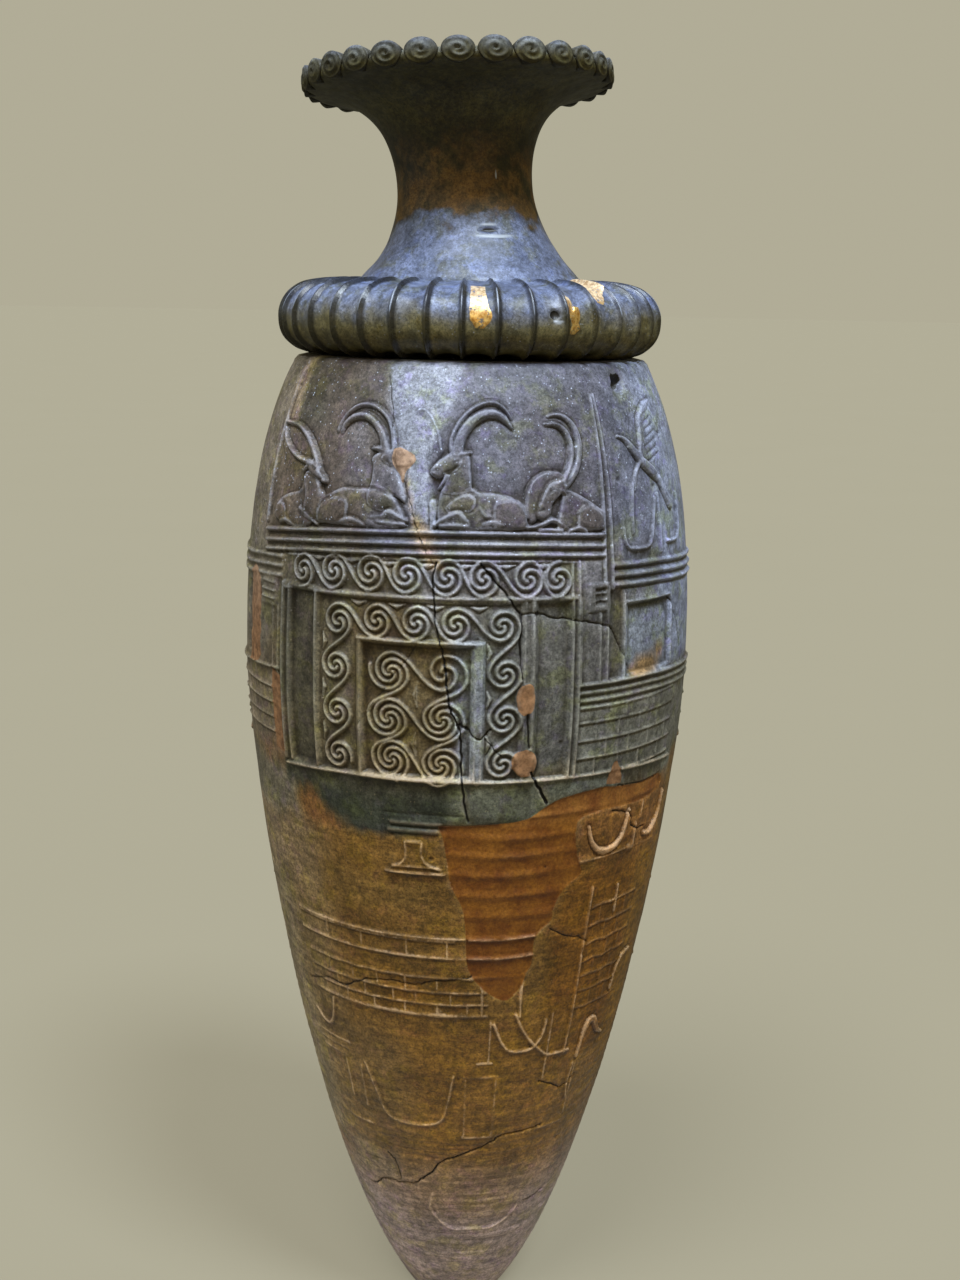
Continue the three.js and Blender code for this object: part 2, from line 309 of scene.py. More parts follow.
def rub_and_highlight(place, from_edge, strength=1):
    """Marks a pale line, worn and on the upper carving partly a painted highlight: from_edge is the distance
    to its middle, in millimetres.
    """
    rubbed_and_highlit[place] = np.maximum(rubbed_and_highlit[place], strength * np.clip(1 - np.abs(from_edge) / PALE_LINE_REACH, 0, 1))


def cut_round(place, depth, strength=1):
    """A crease just outside a shape, that what the shape covers loses. depth is negative outside it."""
    outside = np.clip(1 + depth / CREASE_WIDTH, 0, 1)
    crease[place] = np.where(depth > 0, 0, np.minimum(crease[place], -CREASE_DEPTH * strength * outside))
    rubbed_and_highlit[place] *= np.where(depth > COVERED, 0, 1)


def ridge(path, width, height, worn=1):
    """A raised rounded bar along a path. worn says how pale the line along its top is: wear, and on the upper
    carving partly a painted highlight.
    """
    place = window(path, width + 1)
    distance, _ = nearest(path, *cells(*place))
    raised[place] = np.maximum(raised[place], height * rounded(width / 2 - distance, min(EDGE_MM, width / 2)))
    rub_and_highlight(place, distance, worn * min(1, 0.74 + 0.28 * height))


def limb(path, widths, height):
    """A rounded bar whose width changes along it, for a leg, an ear or a horn."""
    place = window(path, max(widths) + 1)
    distance, along = nearest(path, *cells(*place))
    half = np.interp(along, np.linspace(0, 1, len(widths)), widths) / 2
    cut_round(place, half - distance, min(1, height))
    tall = height * np.minimum(1, 0.35 + 0.65 * 2 * half / max(widths))
    profile = 0.7 * rounded(half - distance, np.minimum(EDGE_MM, half)) + 0.3 * rounded(half - distance, half)
    raised[place] = np.maximum(raised[place], tall * profile)
    rub_and_highlight(place, distance - np.maximum(half - 0.45, 0), min(1, 0.72 + 0.3 * height))


DOME_MM = 4.5  # how far in from its edge a figure goes on swelling


def figure(outline, height):
    """A rounded slab inside a closed outline, for a body, a thigh or a head."""
    outline = curve(list(outline) + [outline[0]], 4)
    place = window(outline, 1.5)
    depth = depth_inside(outline, *cells(*place))
    cut_round(place, depth)
    swell = 0.75 * rounded(depth) + 0.5 * rounded(depth, DOME_MM)
    raised[place] = np.maximum(raised[place], height * swell)
    rub_and_highlight(place, np.where(depth > 0, depth - 0.4, 0.8 - 2 * depth), 0.95)


def accent(path, width, height):
    """A thin line that stands on top of what is there, such as the fold over a thigh."""
    path = curve(path, 5)
    place = window(path, width + 1)
    distance, _ = nearest(path, *cells(*place))
    raised[place] += height * rounded(width / 2 - distance, width / 2)
    rub_and_highlight(place, distance, 0.85)


def groove(path, width, depth):
    """A V-shaped line cut along a path."""
    place = window(path, width)
    distance, _ = nearest(path, *cells(*place))
    cut[place] = np.minimum(cut[place], -depth * np.clip(1 - 2 * distance / width, 0, 1))


def share_inside(outline, slope, place):
    """1 well inside an outline, 0 outside it, with a slope in millimetres centred on its edge."""
    return smoothstep(-slope / 2, slope / 2, depth_inside(outline, *cells(*place)))


def panel(outline, height, slope=0.8):
    """Brings the ground inside an outline to one height, below the wall or above it."""
    place = window(outline, slope + 1)
    share = share_inside(outline, slope, place)
    ground[place] = ground[place] * (1 - share) + height * share


def box(left, right_edge, low, high):
    """The outline of an upright rectangle on the sheet."""
    return [(left, low), (right_edge, low), (right_edge, high), (left, high)]


print("chisel strokes: ridge, limb, figure, accent, groove and panel; edges are rounded over", EDGE_MM, "mm")

# %% [markdown]
# ## Spirals that run into each other
#
# The doorway and the band above it are filled with running spirals. Strands wind out of the middle of each
# spiral, leave it as an S-shaped bend, and wind into the next one. Two strands meet in a spiral of a plain
# row, and three where rows and columns cross. The carver kept the gaps between strands even, so here each
# strand is given a little more or less winding, until the strands of a spiral share its circle equally.

# %% How far each strand winds
def windings(angles, turns):
    """Turns for the strands that leave a spiral at these angles, so that they lie evenly apart."""
    angles = np.asarray(angles, float) % 360
    slots = np.empty(len(angles))
    slots[np.argsort(-angles)] = -360 * np.arange(len(angles)) / len(angles)
    lag = angles - slots
    return turns - (lag - lag.mean()) / 360


# %% A coil, and the bend between two coils
COIL_EYE = 0.7
STRAND_WIDTH = 1.3
STRAND_HEIGHT = 1.05


def coil(radius, leaves, turns):
    """A coil that winds out of (0, 0) clockwise and leaves at an angle; x is to the right and y is up."""
    share = np.linspace(0, 1, 30)
    angle = np.radians(leaves + 360 * turns * (1 - share))
    reach = COIL_EYE + (radius - COIL_EYE) * share
    return np.column_stack([reach * np.cos(angle), reach * np.sin(angle)])


def bend(start, start_angle, end, end_angle, steps=10):
    """The S between two coils: it leaves one clockwise and meets the other anticlockwise."""
    pull = 1.1 * np.linalg.norm(end - start)
    leaving = pull * np.array([math.sin(start_angle), -math.cos(start_angle)])
    arriving = pull * np.array([-math.sin(end_angle), math.cos(end_angle)])
    t = np.linspace(0, 1, steps + 1)[1:-1, None]
    return ((2 * t ** 3 - 3 * t ** 2 + 1) * start + (t ** 3 - 2 * t ** 2 + t) * leaving
            + (3 * t ** 2 - 2 * t ** 3) * end + (t ** 3 - t ** 2) * arriving)


# %% A whole net of spirals
LEAVES_RIGHT, MEETS_RIGHT = 82, 262
LEAVES_BELOW, MEETS_BELOW = -20, 165


def spiral_row(middles):
    """Strands that leave each spiral at the top and dive under its right neighbour."""
    return [(first, LEAVES_RIGHT, second, MEETS_RIGHT) for first, second in zip(middles, middles[1:])]


def spiral_column(middles):
    """Strands that leave each spiral at the right and sweep round the left of the one below."""
    return [(first, LEAVES_BELOW, second, MEETS_BELOW) for first, second in zip(middles, middles[1:])]


def carve_spirals(radius, turns, strands, loose_ends):
    """Carves strands (spiral, angle, spiral, angle) and loose ends (spiral, angle) as one net."""
    angles_at = {}
    for first, leaves, second, meets in strands:
        angles_at.setdefault(first, []).append(leaves % 360)
        angles_at.setdefault(second, []).append(meets % 360)
    for middle, leaves in loose_ends:
        angles_at.setdefault(middle, []).append(leaves % 360)
    wound = {middle: dict(zip(angles, windings(angles, turns))) for middle, angles in angles_at.items()}

    def coil_at(middle, leaves):
        own = wound[middle][leaves % 360]
        return coil(radius * own / turns, leaves, own)

    for first, leaves, second, meets in strands + [end + (None, None) for end in loose_ends]:
        path = coil_at(first, leaves)
        scale = np.radians(wall_radius(first[1]))
        if second is not None:
            offset = np.array([(second[0] - first[0]) * scale, second[1] - first[1]])
            inward = offset + coil_at(second, meets)[::-1]
            between = bend(path[-1], math.radians(leaves), inward[0], math.radians(meets))
            path = np.vstack([path, between, inward])
        on_sheet = np.column_stack([first[0] + path[:, 0] / scale, first[1] + path[:, 1]])
        ridge(on_sheet, STRAND_WIDTH, STRAND_HEIGHT)


print("a strand is", STRAND_WIDTH, "mm wide and stands", STRAND_HEIGHT, "mm high")

# %% [markdown]
# ## The doorway of spirals
#
# The middle of the front is a building's doorway. A band of eight spirals runs over it, under three thin
# mouldings. Below, a frame of spirals goes round three sides of a sunken panel, and six larger spirals fill
# the panel. On each side stands a plain sunken upright. The panels are cut first, then the spirals are
# raised in them, which is the order a carver works in too.

# %% Sunken and raised panels of the doorway
DOOR_TOP = 250.2
DOOR_FOOT = 198
FRIEZE_TOP = 261
SUNKEN = -0.75

panel(box(-51, 27, DOOR_TOP + 0.9, FRIEZE_TOP), -0.55)
panel(box(-47.6, -39.6, DOOR_FOOT, DOOR_TOP - 0.6), -1.1, 1.4)
panel(box(-37.6, 12.6, DOOR_FOOT, DOOR_TOP - 1), SUNKEN)
panel(box(-26.6, 4.4, DOOR_FOOT - 0.6, 238.4), 0.25, 0.7)
panel(box(-24.9, 1.4, DOOR_FOOT + 0.6, 236.9), -1.55, 1.5)
panel(box(16.8, 24.6, DOOR_FOOT, DOOR_TOP - 1), -1, 1.4)
print("the deepest panel is sunk", -ground.min().round(2), "mm")

# %% The spirals
FRIEZE = [(-43.3, 254.9), (-33.4, 256.1), (-23.3, 256.6), (-14.2, 256.6),
          (-4.7, 256.4), (3.8, 256.2), (14.3, 256), (21.6, 255.8)]
FRAME_TOP = [(-31.7, 241.8), (-21.4, 243.2), (-11.8, 243.3), (-2.5, 243.2), (8.1, 243)]
FRAME_LEFT = [FRAME_TOP[0], (-32.4, 229), (-32, 215.6), (-32, 202.7)]
FRAME_RIGHT = [FRAME_TOP[-1], (9, 229.4), (9.2, 216.4), (8.9, 203)]
PANEL = [[(-18.1, 228.8), (-5.2, 229.3)], [(-18.5, 215.2), (-5.5, 215.7)], [(-17.9, 203.2), (-5.8, 202.3)]]

carve_spirals(4.9, 0.92, spiral_row(FRIEZE), [(FRIEZE[0], 262), (FRIEZE[-1], 82)])
carve_spirals(4.7, 0.9, spiral_row(FRAME_TOP) + spiral_column(FRAME_LEFT) + spiral_column(FRAME_RIGHT),
              [(FRAME_LEFT[-1], -20), (FRAME_RIGHT[-1], -20)])
carve_spirals(6, 0.84, sum(map(spiral_row, PANEL), []) + spiral_column([pair[0] for pair in PANEL])
              + spiral_column([pair[1] for pair in PANEL]),
              [(PANEL[0][0], 165), (PANEL[2][0], -70), (PANEL[2][1], -40)])

# The small leaves that fill the corners between spirals.
for angle, height in ((-38.5, 259.6), (-28.5, 260), (-18.7, 260), (-9.4, 260),
                      (-0.6, 260), (9, 260), (18, 260)):
    limb([(angle - 2.2, height), (angle, height - 0.5), (angle + 2.2, height)], [0.3, 1.6, 0.3], 0.7)
for angle in (-26.5, -16.6, -7.2, 2.8):
    limb([(angle - 2, 248.4), (angle, 247.7), (angle + 2, 248.4)], [0.3, 1.6, 0.3], 0.7)
for angle, low, high in ((-11.4, 218.6, 226.6), (-11.8, 204.6, 211.8)):
    limb([(angle, low), (angle - 0.6, (low + high) / 2), (angle, high)], [0.4, 2, 0.4], 0.4)
    groove([(angle, low + 1), (angle - 0.6, (low + high) / 2), (angle, high - 1)], 0.6, 0.5)
for angle in (-36.6, 4.9):
    for height in (235.5, 222.2, 208.9):
        limb([(angle, height + 2.6), (angle + 0.7, height), (angle, height - 2.6)], [0.3, 1.3, 0.3], 0.7)
print("the tallest strand stands", raised.max().round(2), "mm above its ground")

# %% Mouldings, uprights and ledges round the doorway
SAG = 0.0012
for height, width, tall in ((268.8, 1.7, 1.2), (265.7, 1.5, 1.05), (263, 1.3, 0.95)):
    ridge(level(height, -60, 34.3, SAG), width, tall)
    groove(level(height - width / 2 - 0.2, -60, 34.3, SAG), 1.3, 0.55)
ridge(level(261, -50, 26.5, 0.0009), 0.9, 0.45)
ridge(level(250.7, -50, 26.5, 0.0006), 1.5, 0.55)
for angle, lower, width, tall in ((-38.6, 0, 1.3, 0.55), (13.6, 0, 1, 0.3), (15.6, 0.5, 1.5, 0.5)):
    ridge([(angle, DOOR_TOP - lower), (angle, DOOR_FOOT)], width, tall)
for angle, width, tall in ((-50.5, 1.5, 0.8), (-48.3, 1, 0.5), (25.5, 1.1, 0.6), (27.1, 1.3, 0.8)):
    ridge([(angle, DOOR_TOP + 10 * (angle > 20)), (angle, DOOR_FOOT - 0.5)], width, tall)
ridge([(-26.4, 238.2), (3.4, 238.2)], 1.5, 0.5)
ridge([(-25.6, 237.6), (-25.6, DOOR_FOOT)], 1.1, 0.35)
limb([(2.9, 237.6), (2.9, DOOR_FOOT)], [2.6, 2.6], 0.35)
ridge([(-24.6, DOOR_FOOT + 0.2), (1.6, DOOR_FOOT + 0.2)], 1.5, 0.9)
ridge([(1.3, 236.4), (1.3, DOOR_FOOT)], 0.9, 0.35)
FOOT_LINE = [(-50.5, 195.9), (-38, 197), (-24, 197.7), (8, 197.8), (27, 197.8), (45, 197.3), (66, 195.6)]
ridge(curve(FOOT_LINE), 1.3, 0.8)
print("doorway done")

# %% [markdown]
# ## Goats lying on the roof
#
# Four horned goats lie on the roof of the doorway, two looking one way and two the other, on either side of
# a tall conical stone. A figure in low relief is a few rounded slabs and limbs that overlap. A slab is an
# outline with a height, for a body, a thigh or a head, and a limb is a short path with a width at each
# step. Where two cross, the taller one wins, which leaves the crease between a thigh and a belly by itself.
# Thin folds are added on top. Long curved horns are limbs that thin to a point.

# %% The goat that looks back, at the left
# A goat is the angle of its middle, slabs (outline, height), limbs (path, widths, height) and folds, all
# drawn from the roof under its middle.
ROOF = 268
GOATS = []
GOATS.append((
    -48,
    [([(-9, 2), (-7.6, 5.4), (-3, 7.9), (0, 8.7), (3, 9.8), (7, 9), (8.4, 4), (6, 0),
       (-2, -1.2)], 0.95),
     ([(-9, 1), (-8, 4.6), (-5.4, 5.4), (-3.4, 4), (-3, 1), (-5, -1)], 1.25),
     ([(1.6, 8.4), (2.3, 12), (2.6, 14.6), (5, 15.2), (7.4, 13.6), (9, 10.6), (9.9, 7.6),
       (9.1, 1.6), (6, 2), (3, 4.6)], 1.35),
     ([(2.2, 17), (4, 17.9), (6.2, 17.4), (8.4, 15.2), (10.4, 12.9), (9.8, 11.7), (7.4, 12.9),
       (4.4, 14.4)], 1.8)],
    [([(2.8, 16.4), (1.2, 14.4)], [1.9, 0.6], 1.5),
     ([(6.4, 17), (3.6, 21.4), (0.4, 24.6), (-3.4, 26.7), (-7.4, 27.5), (-12.4, 27.5)],
      [2.2, 2.1, 1.9, 1.6, 1.3, 0.9], 1.6),
     ([(4.4, 17.4), (0.4, 17.7), (-3.6, 19), (-7, 20.9), (-9.6, 23), (-11.4, 25.9)],
      [1.8, 1.7, 1.5, 1.4, 1.2, 0.8], 1.5),
     ([(-5.8, -0.6), (-2.6, 0.4), (0.4, -0.7)], [1, 1.5, 0.8], 1.3),
     ([(3, 4.2), (6, 2.4), (8.8, 0.6)], [2.2, 1.7, 1], 1.6)],
    [[(-9, 4.6), (-6.6, 6.2), (-3, 7.8), (0.4, 8.7), (3, 9.6)], [(3.2, 13.4), (5, 8), (4.6, 3.6)]],
))
print("goats drawn:", len(GOATS))

# %% The goat before the stone
GOATS.append((
    -27,
    [([(-12.2, 0.9), (-12.5, 5), (-11.3, 8), (-8, 10), (-5, 11.4), (-1, 11.4), (1.6, 11.5),
       (2.6, 12.8), (6, 11.8), (8.6, 10), (10.6, 7), (12, 3.4), (10, 1.4)], 1.05),
     ([(-12, 1.4), (-11.9, 5.4), (-9.8, 7.9), (-6.6, 8.9), (-4, 8.4), (-3, 6.6), (-3.4, 3),
       (-5.4, 1.4)], 1.45),
     ([(1.7, 11.2), (2, 8), (4, 6.2), (7, 5.8), (9.4, 6.6), (9.8, 8.8), (7.6, 10.9),
       (4.4, 12.3)], 1.5),
     ([(2.3, 12), (2.6, 17), (2, 20.2), (5, 22.2), (8, 21.8), (9.4, 17), (11.4, 11.6),
       (11.6, 8.4), (9, 10)], 1.3),
     ([(4.4, 19.8), (5.6, 22.4), (9, 22.5), (12.4, 20.9), (13, 19), (10.6, 18), (7.4, 18)], 1.8)],
    [([(5.6, 21.9), (3.6, 22.6), (1.4, 22.5)], [1.8, 1.6, 0.5], 1.9),
     ([(7.6, 23), (6.8, 27.2), (5, 30.8), (2, 33.3), (-1.4, 34.3), (-4.6, 33.8), (-7.4, 31.8),
       (-9.2, 29), (-10, 26.4)], [1.5, 1.5, 1.4, 1.3, 1.2, 1.1, 1, 0.8, 0.5], 1.2),
     ([(5.4, 22.8), (4, 26.6), (1.4, 29.7), (-2, 31.3), (-5.4, 30.6), (-7.6, 28.6), (-8.5, 26.2)],
      [2.7, 2.5, 2.3, 2.1, 1.8, 1.4, 0.5], 1.7),
     ([(3.6, 4.1), (6, 4.4), (7.8, 5.6), (9.8, 4.8), (12, 3.6)], [1.2, 1.4, 1.7, 1.6, 1.3], 1.7),
     ([(5, 3), (8.4, 2.7), (11.6, 2.6)], [1.1, 1.2, 1.1], 1.4),
     ([(-5, 1.9), (-2.6, 3), (0, 2.6), (1.6, 1.6)], [1, 1.5, 1.3, 0.8], 1.5)],
    [[(-11, 8.2), (-8, 10), (-5, 11.3), (-1, 11.2), (1.6, 11.3)], [(2.6, 12.7), (6, 11.7), (8.6, 9.8),
                                                                   (10.2, 7)],
     [(-7.4, 8.6), (-4.4, 8.6), (-3.2, 6.8), (-3.4, 4)]],
))
print("goats drawn:", len(GOATS))

# %% The goat behind the stone
GOATS.append((
    2,
    [([(-9, 1.8), (-9.5, 6), (-9.2, 10.4), (-7.6, 13.4), (-1.6, 13), (0, 11.7), (3, 11.4), (7, 10.8),
       (10, 9.5), (11.7, 7.4), (12, 4), (11.2, 1.6)], 1.05),
     ([(3.9, 2), (3.7, 7.4), (4.6, 9.6), (7, 10), (10.4, 8.7), (11.8, 5.6), (11.2, 1.8)], 1.5),
     ([(-7.8, 7.6), (-5.2, 10.4), (-2, 11.6), (-0.2, 9.8), (-1.2, 6.8), (-4, 6.2), (-6.8, 6.2)], 1.4),
     ([(-8.8, 11.4), (-7.4, 16), (-6.6, 19), (-4.6, 22.2), (-2.2, 22), (-1.5, 17), (-1.6, 12.6), (-5, 11)],
      1.3),
     ([(-11.8, 17.1), (-10, 19.7), (-7.4, 22), (-4.8, 22.9), (-3.6, 20.4), (-5, 17.6), (-7.4, 16.4),
       (-9.2, 15.2), (-10.8, 15.8)], 1.8)],
    [([(-7.4, 16), (-8.2, 14.4), (-9.3, 12.5)], [1.6, 1.2, 0.5], 1.6),
     ([(-5.2, 21.3), (-3.2, 22), (-1.5, 22.5)], [1.7, 1.5, 0.5], 2),
     ([(-6.6, 22.8), (-6.6, 26), (-5, 30), (-2.2, 33.4), (1, 35.3), (4, 35.8), (6.8, 34.4), (8.9, 31.6)],
      [1.4, 1.3, 1.3, 1.2, 1.2, 1.1, 1, 0.5], 1.2),
     ([(-5.1, 22.6), (-4.2, 26.6), (-1.8, 30.4), (1.2, 32.5), (4.2, 32.9), (6.8, 31.6), (8.9, 28.9)],
      [3.2, 3, 2.9, 2.8, 2.5, 2, 0.7], 1.8),
     ([(-10.5, 2), (-10.5, 5.4), (-10.5, 8.6)], [1.5, 1.7, 2.2], 1),
     ([(-10, 2.7), (-7.4, 4.7), (-4.6, 5.9), (-3.2, 4.6), (-1.8, 3)], [1.3, 1.6, 1.9, 1.7, 1], 1.8),
     ([(-8.6, 2.5), (-5.4, 2.8), (-2.4, 2.5)], [1.2, 1.5, 1.2], 1.4),
     ([(1.4, 3.2), (3.6, 3.8), (6, 3)], [1, 1.6, 0.9], 1.6)],
    [[(-1.6, 12.9), (0, 11.6), (3, 11.3), (7, 10.7), (10, 9.4), (11.4, 7.8)],
     [(3.8, 7), (4.6, 9.6), (7, 9.9), (10, 8.7)], [(0.6, 7.4), (1.8, 5.5), (3.6, 5)]],
))
print("goats drawn:", len(GOATS))

# %% The goat with its head lowered
GOATS.append((
    24,
    [([(-3, 1.4), (-1.6, 8), (-0.6, 12.3), (2, 11.6), (5, 9.8), (8, 7.8), (10.3, 5.8), (10.6, 2.6),
       (9.2, 0.6)], 1.05),
     ([(2.6, 1.4), (2.6, 5.6), (4.6, 7.8), (7.6, 7.3), (10, 5), (10.2, 2), (9, 0.8)], 1.5),
     ([(-9.4, 3), (-10.5, 7), (-10.2, 11.6), (-9, 14.5), (-7, 16.4), (-4.4, 17.4), (-1.4, 17.1), (0.6, 15.4),
       (-0.6, 12), (-4, 10), (-6.6, 7.6), (-7.8, 4)], 1.3),
     ([(-1, 15.6), (-4.6, 14.2), (-6.4, 11.2), (-7.7, 8), (-7.9, 5), (-6, 4), (-4.4, 5.4), (-3.8, 8.2),
       (-2, 10.4), (0.4, 13)], 1.85)],
    [([(-3.8, 12.9), (-1.6, 12.2), (-0.1, 11.2)], [0.6, 1.5, 0.6], 2.2),
     ([(0.2, 13.6), (2.8, 17), (4.4, 21), (5, 25), (4.2, 29), (2, 31.7), (-0.6, 32.6), (-3.2, 32.2)],
      [2.6, 2.4, 2.2, 2, 1.8, 1.5, 1.2, 0.5], 1.3),
     ([(-0.4, 14.8), (1.2, 18), (2.2, 21.4), (2.3, 25), (1.2, 28.2), (-1.2, 30), (-4.2, 30)],
      [1.8, 1.8, 1.7, 1.6, 1.5, 1.2, 0.5], 1.7),
     ([(-10.2, 2.2), (-7, 2.8), (-4, 4.2), (-1.6, 2.9)], [1, 1.7, 1.7, 1], 1.7),
     ([(-7.4, 1.7), (-4.4, 1.5), (-1.4, 1.2)], [1, 1.2, 1], 1.4),
     ([(0.6, 1.1), (3, 1.7), (5.2, 0.7)], [0.9, 1.4, 0.8], 1.6)],
    [[(-0.4, 12.2), (2, 11.5), (5, 9.7), (8, 7.7), (10.2, 5.8)], [(2.6, 5.8), (4.6, 7.7), (7.2, 7.4)],
     [(-9.8, 11.4), (-8.6, 14.4), (-6.6, 16.2), (-4.2, 17.1), (-1.6, 16.8)]],
))
print("goats drawn:", len(GOATS))


# %% Put the goats on the roof
def on_roof(middle, points):
    """A goat's points, moved to its place on the sheet."""
    return [(middle + angle, ROOF + height) for angle, height in points]


for middle, slabs, limbs, folds in GOATS:
    for outline, height in slabs:
        figure(on_roof(middle, outline), height)
    for path, widths, height in limbs:
        limb(curve(on_roof(middle, path), 5), widths, height)
    for path in folds:
        accent(on_roof(middle, path), 0.9, 0.45)

# Brows, mouths and the line between cheek and neck are small cuts.
for path in ([(-17.4, 290), (-16, 289.4)], [(-16.4, 287.2), (-14.4, 287.1)], [(-3.4, 287.6), (-2, 288.2)],
             [(-9.2, 285), (-7.2, 285.4)], [(19.6, 279.6), (20.4, 280.4)], [(16.6, 274.6), (17.8, 275)],
             [(-42.6, 284.2), (-41.4, 283.6)], [(-39.6, 280.6), (-38.4, 281.2)],
             [(-5.2, 284.6), (-3, 286.2)]):
    groove(path, 0.9, 0.6)
print(len(GOATS), "goats of", sum(len(slabs) + len(limbs) for _, slabs, limbs, _ in GOATS), "slabs and limbs")

# %% The conical stone between them
CONE = curve([(-16.4, 291), (-16.2, 297), (-14.6, 300.6), (-12.4, 301.7), (-10, 299.4), (-8, 295.2),
              (-7, 290.6)])
panel(list(map(tuple, CONE)) + [(-8.6, 284), (-9.6, 271), (-14, 271), (-15.4, 286)], 0.45, 1)
ridge(CONE[14:], 0.8, 0.6)
print("the stone reaches", CONE[:, 1].max().round(1), "mm")

# %% [markdown]
# ## The courts on either side
#
# Left and right of the doorway are lower walls, seen in the same flat way: courses of cut blocks, a sunken
# opening, thin masts held by clamps, and mouldings that carry the horns of consecration, the U-shaped
# crests of such a building. A bird settles on the one at the right. All of it is straight strokes and a few
# limbs.

# %% The right court
RIGHT_MOULDINGS = ((258.6, 1.7), (255.7, 1.7), (252.9, 1.5))
for height, width in RIGHT_MOULDINGS:
    ridge([(37.6, height), (55, height - 0.5), (72, height - 1.8), (84, height - 2.4)], width, 0.8)
    groove([(37.6, height - 1.3), (55, height - 1.8), (72, height - 3.1), (84, height - 3.7)], 1, 0.35)

limb([(34.6, 253), (34.9, 280), (35.6, 306)], [1.3, 1.2, 0.9], 0.6)
limb([(37, 252), (37, 280), (36.6, 306)], [1.3, 1.1, 0.8], 0.6)
groove([(35.9, 253), (35.9, 300)], 0.9, 0.4)
panel(box(29.6, 36, 245.8, 254), 0.5, 0.8)
panel(box(31.6, 34.4, 247.6, 252.4), -0.3, 0.8)
for height in (249, 251):
    ridge([(31.6, height), (34.4, height)], 0.8, 0.4)
for angle, low, high in ((27.6, 225, 250), (33, 225, 245), (35.2, 225, 245.5), (40.6, 225, 250)):
    ridge([(angle, low), (angle, high)], 1.1, 0.6)
panel(box(36.2, 40, 225.6, 251), -0.6, 1.2)

panel(box(42, 60, 226.4, 246.6), -1, 1.1)
ridge([(41, 247.6), (61, 247)], 1, 0.5)
ridge([(60.8, 246.5), (60.8, 226)], 1.2, 0.5)
for height, width, tall in ((225, 1.5, 0.9), (222.6, 1.3, 0.6), (220.3, 1.3, 0.6)):
    ridge([(27, height), (50, height), (72, height - 1.4), (84, height - 2)], width, tall)
panel([(27.6, 218.6), (66, 217.6), (66, 214), (27.6, 214.4)], 0.35, 0.8)
print(len(RIGHT_MOULDINGS), "mouldings over the right court")

# %% Courses of blocks
def courses(bed_heights, left, right_edge, joints, height=0.5, worn=0.9, shake=0):
    """Thin raised beds and joints between blocks. joints holds the angles of the joints above each bed."""
    for bed in bed_heights:
        angles = np.arange(left, right_edge + 1, 4)
        bed_line = [(angle, bed + shake * math.sin(0.7 * angle + bed)) for angle in angles]
        ridge(bed_line, 0.9, height, worn)
        groove([(angle, level_here - 0.8) for angle, level_here in bed_line], 0.8, 0.14)
    for bed, next_bed, angles in zip(bed_heights, bed_heights[1:], joints):
        for angle in angles:
            ridge([(angle, bed), (angle, next_bed)], 0.8, 0.8 * height, worn)


courses([218.2, 213.7, 208.3, 203, 197.9], 28, 66,
        [(42, 50), (32.8, 39.8, 47.5, 55), (36, 43.5, 51.5, 60), (32.8, 40.3, 48, 57)], 0.5, 0.85)

# %% The bird and the horns of consecration
for path, widths, height in (
        ([(42.4, 294.2), (45.4, 293), (50, 287.6), (55, 283.6), (58.4, 280.8)], [0.7, 1.6, 2.8, 3.2, 2.2],
         1.1),
        ([(58, 281.4), (60.4, 277.4), (63.4, 273.6)], [2.6, 2.6, 3.4], 0.9),
        ([(50.6, 288), (52.4, 292.6), (54, 298), (58, 301.6), (62.6, 303.6)], [2, 3, 3.6, 3, 0.8], 0.8),
        ([(46.4, 279), (47.4, 283.4), (50.4, 287)], [0.8, 1.6, 1.2], 0.6)):
    limb(curve(path, 5), widths, height)
for step in range(7):
    groove([(54.2, 286.5 + 2.1 * step), (60.8, 288.6 + 2.1 * step)], 0.8, 0.45)

LEFT_HORN = curve([(41, 268.5), (41.4, 265), (43, 262.8), (47, 262.4), (50.4, 263), (52, 266), (53, 271),
                   (54.4, 276)])
RIGHT_HORN = curve([(68.6, 276), (68.2, 268), (66.4, 263.4), (62.6, 262.7), (59.6, 263)])
for horn in (LEFT_HORN, RIGHT_HORN):
    ridge(horn, 1.3, 0.8)
ridge(curve([(44.4, 267), (44.6, 274), (46, 281), (49, 286)]), 1.2, 0.6)
ridge([(56, 277), (56, 260.4)], 1.3, 0.7)
print("the horns reach", LEFT_HORN[:, 1].max().round(1), "mm")

# %% The left court
limb([(-61.4, 267), (-61.2, 290), (-60.6, 314)], [1.6, 1.5, 1.2], 0.7)
groove([(-59.8, 268), (-59.8, 312)], 0.9, 0.4)
panel(box(-61.4, -53.6, 242.4, 251), 0.45, 0.8)
for height in (244.6, 247, 249.4):
    ridge([(-60.6, height), (-54.4, height)], 0.9, 0.5)
for height in (258.4, 255.6, 252.8):
    ridge([(-84, height - 3.2), (-72, height - 2.6), (-61, height - 1.4), (-52, height - 0.8)], 1.5, 0.7)
panel(box(-74, -62.6, 225.6, 247), -0.8, 1.1)
ridge([(-84, 222), (-66, 223.4), (-51.6, 224.4)], 1.3, 0.8)
courses([218, 213.2, 208.6, 204], -78, -51.6, [(-72, -62), (-67, -57.5), (-72, -62)], 0.55)
for angle in (-55, -52.6):
    ridge([(angle, 200), (angle, 243)], 1, 0.4)
print("courts done")

# %% [markdown]
# ## The hillside below
#
# Under the doorway the ground falls away in terraces: an altar with flared foot and top, more horns of
# consecration, two runs of blocks, and, near the tip, the outlines of plain shrines. The relief here is
# lower and more worn than above, so the strokes are wide and shallow.

